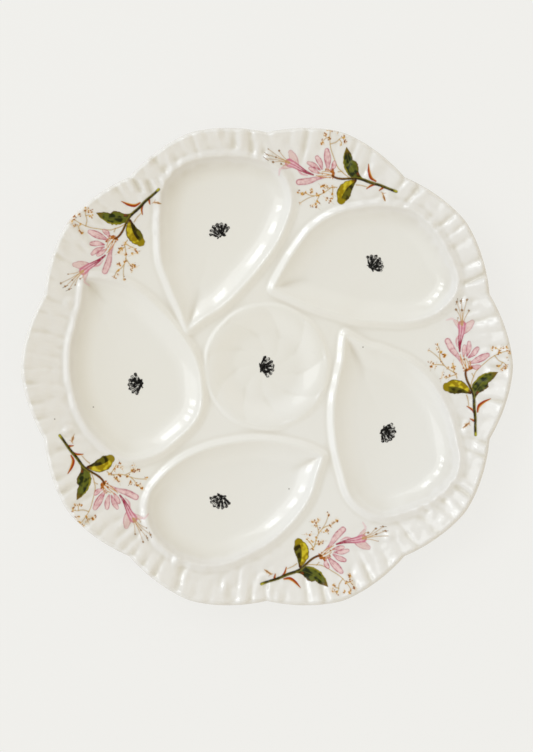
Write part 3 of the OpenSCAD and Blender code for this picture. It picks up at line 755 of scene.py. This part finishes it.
GOLD_THREADS = [
    [(28.7, -12), (31.9, -13.2), (35.3, -15.1)],
    [(29, -11.6), (31.5, -13.8), (34.4, -16.3)],
    [(29.9, -11.1), (32.3, -12), (34, -13.6)],
    [(28.8, -12.7), (31.3, -14.8), (35.3, -16.6)],
    [(30, -10.8), (32, -10.8), (33.6, -11.4)],
]
GOLD_DOTS = [
    (30.6, -11), (30.9, -12.9), (30.6, -9.8), (33.1, -11.7), (29.1, -10.6), (33.5, -14.3), (29.3, -13.6)
]
CALYX = [(28.1, -13), (29, -11.4), (30.4, -10.1)]
OUTER_STALKS = [
    [(20.5, -7.8), (23.8, -8.1), (26.4, -7.9), (29, -7.5), (31.8, -6), (34.3, -4.3), (36.8, -2.6),
     (38.9, -0.6), (41, 2), (42.5, 4.5)],
    [(38.8, -0.8), (37, 1.7), (36.5, 4.2), (35.5, 6)],
    [(27.9, -9), (26.5, -7.7)],
    [(40.6, 1.2), (42, 0.4), (42.4, -1.8)],
    [(36.6, 3.6), (34.8, 3), (34.4, 1.4)],
]
INNER_STALKS = [
    [(23.9, -15.3), (25.9, -16.5), (26.5, -18.1), (27.2, -20.4), (28.4, -22.8), (30.3, -25), (32, -27.6),
     (33.7, -31.6)],
    [(26.3, -17.6), (28.4, -18), (30.1, -18.9)],
    [(30.3, -25), (32.5, -26), (34.6, -26.4), (37.3, -28.4)],
    [(28.4, -22.8), (28, -25.7), (27.4, -27.7)],
    [(25.3, -16.6), (24, -18.6), (22.4, -20.4)],
    [(17.3, -8.9), (15.3, -7.7), (12.5, -6.6)],
]
OUTER_BERRIES = [
    (42.3, 4.9), (44, 4), (41.5, 5.7), (43.3, 1.8), (42.4, 1), (42.5, -1.7), (42, -2.8), (40.7, 1.1),
    (39.3, 5.4), (35.7, 5.9), (34.6, 5.2), (34.4, 2.2), (33.4, 4.1)
]
INNER_BERRIES = [
    (30, -19), (29, -17.9), (28, -18.2), (33.1, -23.6), (32.3, -24.3), (37.3, -28.4), (35.3, -27.6),
    (34.1, -26.2), (28.4, -29.3), (27.7, -28.1), (26.1, -28.5), (27.1, -26.5), (24.5, -22.5),
    (22.4, -22.5), (24.1, -19), (23, -20.8), (33.4, -31.6), (29.5, -23.7), (27.6, -20.7), (25.6, -16.2)
]
BUD = [(4.6, -4.6), (3.4, -5.5), (1.8, -6.7)]
BUD_STALK = [(5.8, -4.6), (4.4, -4.4), (3.6, -3.6)]

# Colours of the berries, and the dabs that each is made of
BERRY_BROWNS = [(148, 80, 6), (180, 120, 26), (196, 148, 60), (130, 68, 10)]
BERRY_DABS = 4
BERRY_SCATTER = 0.46
DAB_R = 0.29
INK = (14, 12, 9)


def paint_berries(art):
    for line in OUTER_STALKS + INNER_STALKS:
        art.stroke("berries", line, [0.5, 0.42, 0.36], (180, 142, 62), 0.8, 0.35)
    for centre in OUTER_BERRIES + INNER_BERRIES:
        art.dot("berries", centre, 0.75, (214, 174, 104), 0.35, 0.8)
        for _ in range(BERRY_DABS):
            shift = art.random.normal(scale=BERRY_SCATTER, size=2)
            color = BERRY_BROWNS[art.random.integers(len(BERRY_BROWNS))]
            art.dot("berries", (centre[0] + shift[0], centre[1] + shift[1]), DAB_R, color, 0.95, 0.25)
    art.stroke("berries", BUD, [0.9, 1.3, 0.5], (204, 164, 96), 0.7, 0.5, ragged=0.3)
    art.stroke("berries", BUD, [0.3, 0.6, 0.25], (136, 80, 22), 0.9, 0.3, ragged=0.3)
    art.stroke("berries", BUD_STALK, [0.3, 0.45, 0.2], (176, 118, 52), 0.7)


def paint_blossom(art):
    """The colour functions take a spot's place along a stroke, its place across it, and the box"""
    petal_pale = linear(227, 195, 188)
    petal_rose = linear(170, 62, 86)
    lip_pale = linear(217, 188, 178)
    lip_rose = linear(180, 90, 106)
    tube_deep = linear(150, 32, 62)
    tube_end = linear(196, 116, 132)
    tube_pale = linear(230, 200, 198)

    def petal_color(u, v, box):
        edge = ease((np.abs(v) - 0.45) / 0.4)
        vein = ease(1 - np.abs(np.abs(v + 0.1) - 0.28) / 0.16) * ease((0.9 - u) / 0.5)
        root = ease((0.4 - u) / 0.4)
        share = 0.1 + 0.66 * edge + 0.5 * vein + 0.4 * root
        return blend_colors(petal_pale, petal_rose, share + 0.14 * art.rough[box])

    def lip_color(u, v, box):
        edge = 0.62 * ease((np.abs(v) - 0.62) / 0.3)
        root = 0.5 * ease((0.35 - u) / 0.35)
        vein = 0.3 * ease(1 - np.abs(v - 0.15) / 0.12) * ease((0.8 - u) / 0.4)
        return blend_colors(lip_pale, lip_rose, edge + root + vein + 0.1 * art.rough[box])

    def tube_color(u, v, box):
        deep = blend_colors(tube_deep, tube_end, ease((u - 0.3) / 0.5))
        streak = ease(1 - np.abs(np.abs(v) - 0.35) / 0.3) * ease((u - 0.25) / 0.35)
        return blend_colors(deep, tube_pale, 0.8 * streak + 0.12 * art.rough[box])

    for line, widths in zip(PETALS_LONG, PETAL_WIDTHS):
        art.stroke("blossom", line, widths, petal_color, 0.88, 0.35)
    art.stroke("blossom", LOW_PETAL, [0.5, 1.4, 2.6, 3.2, 2.9], petal_color, 0.85, 0.35)
    art.stroke("blossom", SIDE_LIP, [0.9, 1.1, 0.9, 0.4], (208, 148, 152), 0.8, 0.35)
    art.stroke("blossom", UPPER_LIP, [1.6, 3.2, 3.9, 3.6, 2.2], lip_color, 0.85, 0.35)
    art.stroke("blossom", HANGING_LIP, [0.7, 1.1, 0.6], (220, 184, 182), 0.6, 0.4)
    art.stroke("blossom", LOWER_LIP, [1.6, 2.4, 2.6, 1.2], lip_color, 0.75, 0.35)
    art.stroke("blossom", TRUMPET, [0.8, 1.5, 2.2, 3, 4], tube_color, 0.95, 0.3)
    for line in STAMENS:
        art.stroke("blossom", line, [0.42, 0.36, 0.32], (186, 148, 92), 0.75, 0.3)
        art.dot("blossom", line[-1], 0.42, (140, 102, 54), 0.9)
    for line in GOLD_THREADS:
        art.stroke("blossom", line, [0.5, 0.42, 0.35], (196, 140, 56), 0.85, 0.3)
    art.stroke("blossom", CALYX, [0.9, 1.6, 0.9], (176, 100, 22), 0.92, 0.3, ragged=0.3)
    for centre in GOLD_DOTS:
        art.dot("blossom", centre, 0.38, (152, 82, 16), 0.9)


def paint_leaves(art):
    blots = art.blots(LEAF_BLOT)

    def dark_color(u, v, box):
        tip = ease((u - 0.74) / 0.22)
        lit_edge = 0.9 * ease((-v - 0.66) / 0.2) * ease((u - 0.12) / 0.3)
        brown_edge = 0.8 * ease((v - 0.72) / 0.2)
        midrib = 0.4 * ease(1 - np.abs(v) / 0.08)
        body = art.shade(box, (32, 38, 2), (92, 96, 22), blots)
        body = blend_colors(body, linear(112, 84, 10), tip)
        body = blend_colors(body, linear(142, 132, 26), lit_edge)
        body = blend_colors(body, linear(108, 82, 12), brown_edge)
        return blend_colors(body, linear(126, 126, 42), midrib)

    def light_color(u, v, box):
        yellow_side = ease((v + 0.06 - 0.25 * (u - 0.5)) / 0.12)
        root = ease((0.2 - u) / 0.2)
        edge = 0.75 * ease((np.abs(v) - 0.78) / 0.16)
        tip = ease((u - 0.88) / 0.1)
        yellow = art.shade(box, (146, 122, 8), (202, 182, 42), blots)
        olive = art.shade(box, (46, 38, 2), (98, 92, 20), blots)
        body = blend_colors(olive, yellow, yellow_side)
        body = blend_colors(body, linear(76, 36, 6), root)
        body = blend_colors(body, linear(96, 82, 10), edge)
        return blend_colors(body, linear(142, 122, 16), tip)

    art.stroke(
        "leaves", OUTER_LEAF, OUTER_LEAF_NOTCHED, dark_color, 1.0, 0.28, other=OUTER_LEAF_PLAIN, ragged=0.04
    )
    art.stroke(
        "leaves", INNER_LEAF, INNER_LEAF_YELLOW, light_color, 1.0, 0.28, other=INNER_LEAF_OLIVE, ragged=0.03
    )


def paint_stem(art):
    def stem_color(u, v, box):
        lit_side = 0.7 * ease((v - 0.2) / 0.5)
        cut_end = ease((0.06 - u) / 0.05)
        brown_end = ease((u - 0.6) / 0.4)
        dark_side = 0.6 * ease((-v - 0.1) / 0.6)
        body = art.shade(box, (44, 36, 2), (88, 78, 14), art.rough)
        body = blend_colors(body, linear(132, 122, 34), lit_side)
        body = blend_colors(body, linear(168, 160, 44), cut_end)
        body = blend_colors(body, linear(112, 60, 12), brown_end)
        return blend_colors(body, linear(26, 20, 0), dark_side)

    def bract_color(u, v, box):
        return blend_colors(linear(154, 54, 4), linear(204, 150, 60), ease(v / 0.8))

    for line, widths in zip(BRACTS, BRACT_WIDTHS):
        art.stroke("stem", line, widths, bract_color)
    art.stroke("stem", TWIG_TO_LEAF, [1, 1.1, 1.4], stem_color)
    art.stroke("stem", STEM, [1.4, 1.3, 1.4, 1.5, 1.5, 1.3, 1.1, 1.1, 1], stem_color)


def paint_spray(seed):
    art = Painting(SPRAY_LOW, SPRAY_HIGH, SPRAY_CELL, SPRAY_PARTS, seed, SPRAY_BLOT)
    paint_berries(art)
    paint_blossom(art)
    paint_leaves(art)
    paint_stem(art)
    return art


def fan(low, aims, distances):
    """Points round a hinge at a low place, at turns from straight up and distances from it"""
    return [(r * math.sin(aim), low + r * math.cos(aim)) for aim, r in zip(aims, distances)]


def paint_shell(seed):
    """A scallop shell in ink: ribs that fan out from a small hinge, each drawn with a few rough strokes"""
    half = RIB_OUTER * SHELL_W
    art = Painting((-half, -half), (half, half), MARK_CELL, ["ink"], seed, MARK_BLOT)
    rib_turn = SHELL_SPREAD / SHELL_RIBS
    low = -HINGE_DROP * SHELL_W
    for i in range(SHELL_RIBS):
        lean = (i - (SHELL_RIBS - 1) / 2) * rib_turn
        outer = SHELL_W * (RIB_OUTER - RIB_SIDE_DROP * (lean / (SHELL_SPREAD / 2)) ** 2)
        inner = RIB_INNER * SHELL_W
        for place in RIB_STROKES:
            aim = math.radians(lean + place * rib_turn)
            tip = outer * (1 - RIB_SHORTER * abs(place) * art.random.uniform(*RIB_UNEVEN))
            rib = fan(low, [aim] * 3, (inner, (inner + tip) / 2, tip))
            art.stroke("ink", rib, [0.25, 0.45, 0.62, 0.3], INK, 0.95, 0.22, ragged=0.4)
        aims = [math.radians(lean + place * rib_turn) for place in CAP_PLACES]
        cap = fan(low, aims, (outer * CAP_END_SHARE, outer, outer * CAP_END_SHARE))
        art.stroke("ink", cap, [0.3, 0.5, 0.3], INK, 0.92, 0.22, ragged=0.4)
    aims = np.radians(np.linspace(-GROWTH_TURN, GROWTH_TURN, GROWTH_POINTS))
    for share in GROWTH_LINES:
        line = fan(low, aims, [share * SHELL_W] * len(aims))
        art.stroke("ink", line, [0.2, 0.3, 0.2], INK, 0.55, 0.25)
    ear = EAR_REACH * SHELL_W
    hinge = [(-ear, low + 0.4), (0, low + 0.9), (ear, low + 0.4)]
    art.stroke("ink", hinge, [0.7, 1.5, 0.7], INK, 0.97, 0.25, ragged=0.3)
    return art


def corners_sum(field):
    """The sum of a field over the four corners of each cell of its grid"""
    f = np.asarray(field, dtype=float)
    return f[:-1, :-1] + f[1:, :-1] + f[1:, 1:] + f[:-1, 1:]


def add_print(name, art, part, origin, heading, material, surface):
    """The spots of a painting that one print owns, as a fine sheet that lies on the glaze"""
    heading = math.radians(heading)
    out = np.array([math.cos(heading), math.sin(heading)])
    along = np.array([-out[1], out[0]])
    x = origin[0] + art.x * along[0] + art.y * out[0]
    y = origin[1] + art.x * along[1] + art.y * out[1]
    on_plate = np.hypot(x, y) < edge_r(np.degrees(np.arctan2(y, x))) - PRINT_MARGIN
    total = {key: corners_sum(share) for key, share in art.shares.items()}
    owned = total[part] >= np.maximum.reduce(list(total.values()))
    kept = owned & (total[part] > CORNERS * FAINTEST) & (corners_sum(on_plate) == CORNERS)
    i, j = np.nonzero(kept)
    columns = art.x.shape[1]
    a = i * columns + j
    quads = np.stack([a, a + 1, a + columns + 1, a + columns], axis=1)
    used, faces = np.unique(quads, return_inverse=True)
    px, py = x.ravel()[used], y.ravel()[used]
    points = np.stack([px, py, surface.glazed_top(px, py) + PRINT_LIFT], axis=1)
    piece = add_mesh(name, points, faces.reshape(-1, 4).tolist())
    step = PRINT_SLOPE_STEP
    rise_x = (surface.glazed_top(px + step, py) - surface.glazed_top(px - step, py)) / (2 * step)
    rise_y = (surface.glazed_top(px, py + step) - surface.glazed_top(px, py - step)) / (2 * step)
    normals = np.stack([-rise_x, -rise_y, np.ones_like(rise_x)], axis=1)
    normals /= np.linalg.norm(normals, axis=1)[:, None]
    piece.data.normals_split_custom_set_from_vertices(normals.tolist())
    paint = piece.data.attributes.new("paint", "FLOAT_COLOR", "POINT")
    values = np.concatenate([art.color.reshape(-1, 3)[used], art.cover.reshape(-1, 1)[used]], axis=1)
    paint.data.foreach_set("color", values.astype(np.float32).ravel())
    # The same painted shade in the hollows under each print
    set_shade_and_pool(piece, surface.shade_and_pool_at(px, py))
    piece.data.materials.append(material)
    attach(piece, "root")
    return piece


# Materials
class Shader:
    """Short ways to build the nodes of a material or a world"""

    def __init__(self, owner):
        owner.use_nodes = True
        self.owner = owner
        self.tree = owner.node_tree
        self.nodes = self.tree.nodes
        self.principled = self.nodes.get("Principled BSDF")

    def add(self, kind, inputs=None, **settings):
        node = self.nodes.new(kind)
        for key, value in settings.items():
            setattr(node, key, value)
        for key, value in (inputs or {}).items():
            self.put(node.inputs[key], value)
        return node

    def put(self, socket, value):
        """Link another node's output to a socket, or set the socket itself"""
        if isinstance(value, bpy.types.NodeSocket):
            self.tree.links.new(value, socket)
        else:
            socket.default_value = value

    def math(self, operation, a, b, clamp=False):
        return self.add("ShaderNodeMath", {0: a, 1: b}, operation=operation, use_clamp=clamp).outputs[0]

    def vector(self, operation, a, b):
        return self.add("ShaderNodeVectorMath", {0: a, 1: b}, operation=operation)

    def where(self):
        return self.add("ShaderNodeTexCoord").outputs["Object"]

    def noise(self, scale, detail):
        inputs = {"Vector": self.where(), "Scale": scale, "Detail": detail}
        return self.add("ShaderNodeTexNoise", inputs).outputs["Fac"]

    def step(self, value, low, high):
        """0 at low, 1 at high, and a smooth change between them"""
        inputs = {"Value": value, "From Min": low, "From Max": high}
        return self.add("ShaderNodeMapRange", inputs, interpolation_type="SMOOTHSTEP").outputs[0]

    def ramp(self, value, places, colors):
        """One colour below the first place, the other above the second, and a change between them"""
        node = self.add("ShaderNodeValToRGB", {"Fac": value})
        for element, place, color in zip(node.color_ramp.elements, places, colors):
            element.position = place
            element.color = (*color, 1)
        return node.outputs["Color"]

    def blend(self, factor, a, b):
        node = self.add("ShaderNodeMix", data_type="RGBA")
        self.put(node.inputs["Factor"], factor)
        for socket, value in ((node.inputs[6], a), (node.inputs[7], b)):
            self.put(socket, value if isinstance(value, bpy.types.NodeSocket) else (*value, 1))
        return node.outputs[2]

    def attribute(self, name):
        return self.add("ShaderNodeAttribute", attribute_name=name)

    def bump(self, height, strength, distance):
        """Bend the surface's normal by a height, with its full size in millimetres"""
        inputs = {"Height": height, "Strength": strength, "Distance": distance * MM}
        self.put(self.principled.inputs["Normal"], self.add("ShaderNodeBump", inputs).outputs["Normal"])


def rim_share(shader):
    """0 on the wells and their ground, 1 on the raised rim"""
    height = shader.add("ShaderNodeSeparateXYZ", {0: shader.where()}).outputs["Z"]
    return shader.step(height, RIM_FROM * MM, RIM_TO * MM)


def glaze_color(shader):
    """Off-white glaze with faint warm clouds, darker on the rim, and painted shade in its hollows,
    where the glaze also pools, with a few tiny specks, alike on the plate and round every print"""
    clean = shader.ramp(shader.noise(CLOUD_SCALE, 3.0), CLOUD_STOPS, (CREAM_WARM, CREAM))
    rim = shader.blend(rim_share(shader), clean, CREAM_RIM)
    # Painted shade in the hollows, where the glaze also pools
    color = shader.blend(shader.attribute("shade_and_pool").outputs["Fac"], rim, CREAM_SHADED_POOLED)
    flat = shader.vector("MULTIPLY", shader.where(), (1, 1, 0)).outputs[0]
    for x, y in SPECKS:
        away = shader.vector("DISTANCE", flat, (x * MM, y * MM, 0)).outputs["Value"]
        color = shader.blend(shader.step(away, SPECK_R * MM, 0), color, SPECK_COLOR)
    return color


def glaze_finish(shader):
    """Gloss, and the slow waves of a fired glaze"""
    shader.principled.inputs["Roughness"].default_value = GLAZE_ROUGHNESS
    shader.principled.inputs["IOR"].default_value = GLAZE_IOR
    shader.bump(shader.noise(WAVE_SCALE, 2.0), 1.0, WAVE_H)


def make_glaze():
    shader = Shader(bpy.data.materials.new("glaze"))
    shader.put(shader.principled.inputs["Base Color"], glaze_color(shader))
    glaze_finish(shader)
    return shader.owner


def make_print(name):
    """Paint fired into the glaze: its own colours where it covers, the plate's glaze round it"""
    shader = Shader(bpy.data.materials.new(name))
    paint = shader.attribute("paint")
    grain = shader.math("ADD", shader.noise(PRINT_GRAIN_SCALE, 2.0), PRINT_GRAIN_LIFT)
    thin = shader.math("MULTIPLY", paint.outputs["Alpha"], grain)
    thick = shader.math("POWER", paint.outputs["Alpha"], 2.0)
    cover = shader.math("MAXIMUM", thin, thick, clamp=True)
    color = shader.blend(cover, glaze_color(shader), paint.outputs["Color"])
    shader.put(shader.principled.inputs["Base Color"], color)
    glaze_finish(shader)
    shader.principled.inputs["Specular IOR Level"].default_value = PRINT_SPECULAR
    return shader.owner


def make_clay():
    """Bare fired clay, matt and finely grained"""
    shader = Shader(bpy.data.materials.new("bare_clay"))
    grain = shader.noise(CLAY_GRAIN_SCALE, 3.0)
    color = shader.ramp(grain, CLAY_STOPS, (CLAY_DARK, CLAY_PALE))
    shader.put(shader.principled.inputs["Base Color"], color)
    shader.principled.inputs["Roughness"].default_value = CLAY_ROUGHNESS
    shader.bump(grain, CLAY_BUMP, CLAY_GRAIN_H)
    return shader.owner


# Stage
def make_floor():
    """A pale floor that keeps the plate's shadow and is clear from below, so that the foot can be seen"""
    mesh = bpy.data.meshes.new("floor")
    sides = ((-1, -1), (1, -1), (1, 1), (-1, 1))
    mesh.from_pydata([(FLOOR_HALF * x, FLOOR_HALF * y, 0) for x, y in sides], [], [(0, 1, 2, 3)])
    piece = bpy.data.objects.new("floor", mesh)
    scene.collection.objects.link(piece)
    shader = Shader(bpy.data.materials.new("floor"))
    shader.nodes.remove(shader.principled)
    soft = shader.add("ShaderNodeBsdfDiffuse", {"Color": (*FLOOR_COLOR, 1)}).outputs[0]
    shown = shader.add("ShaderNodeEmission", {"Color": (*FLOOR_COLOR, 1), "Strength": 1.0}).outputs[0]
    path = shader.add("ShaderNodeLightPath")
    seen = shader.math("MAXIMUM", path.outputs["Is Camera Ray"], path.outputs["Is Glossy Ray"])
    seen = shader.math("MAXIMUM", seen, path.outputs["Is Transmission Ray"])
    share = shader.math("MULTIPLY", seen, FLOOR_GLOW_SHARE)
    pale = shader.add("ShaderNodeMixShader", {0: share, 1: soft, 2: shown}).outputs[0]
    below = shader.add("ShaderNodeNewGeometry").outputs["Backfacing"]
    clear = shader.add("ShaderNodeBsdfTransparent").outputs[0]
    both = shader.add("ShaderNodeMixShader", {0: below, 1: pale, 2: clear}).outputs[0]
    shader.put(shader.nodes["Material Output"].inputs["Surface"], both)
    mesh.materials.append(shader.owner)


def make_camera():
    data = bpy.data.cameras.new("camera")
    camera = bpy.data.objects.new("camera", data)
    scene.collection.objects.link(camera)
    scene.camera = camera
    x = (PHOTO_W / 2 - PLATE_PX[0]) * MM_PER_PX * MM
    y = -(PHOTO_H / 2 - PLATE_PX[1]) * MM_PER_PX * MM
    camera.location = (x, y, CAMERA_H)
    data.sensor_width = SENSOR_W
    data.lens = SENSOR_W * (CAMERA_H - SCALE_H) / (PHOTO_H * MM_PER_PX * MM)
    data.clip_end = VIEW_END


def add_light(name, turn, rise, size, glow, color):
    """A flat light that faces the plate from a turn round it and a rise above the table, of a given glow"""
    data = bpy.data.lights.new(name, "AREA")
    data.shape = "RECTANGLE"
    data.size, data.size_y = size
    data.energy = glow * math.pi * size[0] * size[1]
    data.color = color
    light = bpy.data.objects.new(name, data)
    scene.collection.objects.link(light)
    turn = math.radians(turn)
    rise = math.radians(rise)
    flat = WINDOW_AWAY * math.cos(rise)
    light.location = (flat * math.cos(turn), flat * math.sin(turn), WINDOW_AWAY * math.sin(rise))
    light.rotation_euler = (math.pi / 2 - rise, 0, turn + math.pi / 2)


def make_lights():
    """The panes of the window, each facing the plate, and the soft light"""
    for i in range(PANES):
        aside = (i - (PANES - 1) / 2) * (PANE_W + PANE_GAP)
        swing = math.degrees(math.atan(aside / WINDOW_AWAY)) / math.cos(math.radians(WINDOW_RISE))
        pane_size = (PANE_W, PANE_H)
        add_light(f"pane_{i + 1}", WINDOW_TURN + swing, WINDOW_RISE, pane_size, PANE_GLOW, PANE_COLOR)
    add_light("soft", SOFT_TURN, SOFT_RISE, SOFT_SIZE, SOFT_GLOW, SOFT_COLOR)


def make_world():
    """Light from all round: a change of colour from the window's side to the far side, dimmed overhead.
    The camera sees the floor's own colour there."""
    world = bpy.data.worlds.new("studio")
    shader = Shader(world)
    direction = shader.add("ShaderNodeTexCoord").outputs["Generated"]
    toward = shader.vector("DOT_PRODUCT", direction, WINDOW_SIDE).outputs["Value"]
    share = shader.add("ShaderNodeMapRange", {"Value": toward, "From Min": -1}).outputs[0]
    height = shader.add("ShaderNodeSeparateXYZ", {0: direction}).outputs["Z"]
    dimming = {"Value": height, "From Min": OVERHEAD_START, "To Min": 1, "To Max": OVERHEAD_SHARE}
    overhead = shader.add("ShaderNodeMapRange", dimming, interpolation_type="SMOOTHSTEP").outputs[0]
    room = shader.nodes["Background"]
    shader.put(room.inputs["Color"], shader.blend(share, ROOM_FAR, ROOM_NEAR))
    shader.put(room.inputs["Strength"], overhead)
    plain = shader.add("ShaderNodeBackground", {"Color": (*FLOOR_COLOR, 1)}).outputs[0]
    seen = shader.add("ShaderNodeLightPath").outputs["Is Camera Ray"]
    shown = shader.add("ShaderNodeMixShader", {0: seen, 1: room.outputs[0], 2: plain}).outputs[0]
    shader.put(shader.nodes["World Output"].inputs["Surface"], shown)
    scene.world = world


make_camera()
scene.view_settings.view_transform = "Standard"
make_world()
make_lights()
make_floor()

surface = Surface()
plate = make_plate(surface)
plate.data.materials.append(make_glaze())
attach(plate, "root")
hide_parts("plate_body")

foot = make_foot()
foot.data.materials.append(make_clay())
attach(foot, "root")
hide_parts("foot_ring")

prints = {slot: make_print(slot) for slot in (*SPRAY_PARTS.values(), "ink_print")}
for k, (spray_turn, spray_r, tilt) in enumerate(zip(SPRAY_TURNS, SPRAY_RS, SPRAY_TILTS)):
    art = paint_spray(SPRAY_SEED + k)
    turn = math.radians(spray_turn)
    origin = (spray_r * math.cos(turn), spray_r * math.sin(turn))
    for part, slot in SPRAY_PARTS.items():
        node = f"spray_{k + 1}_{part}"
        piece = add_print(f"print_{node}", art, part, origin, spray_turn + tilt, prints[slot], surface)
        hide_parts(node)

marks = [(f"shell_mark_{k + 1}", well_centre(k) + MARK_SHIFTS[k], WELL_TURNS[k]) for k in range(WELLS)]
marks.append(("shell_mark_middle", (0, 0), MIDDLE_MARK_TURN))
for k, (node, origin, heading) in enumerate(marks):
    art = paint_shell(MARK_SEED + k)
    piece = add_print(f"print_{node}", art, "ink", origin, heading, prints["ink_print"], surface)
    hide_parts(node)
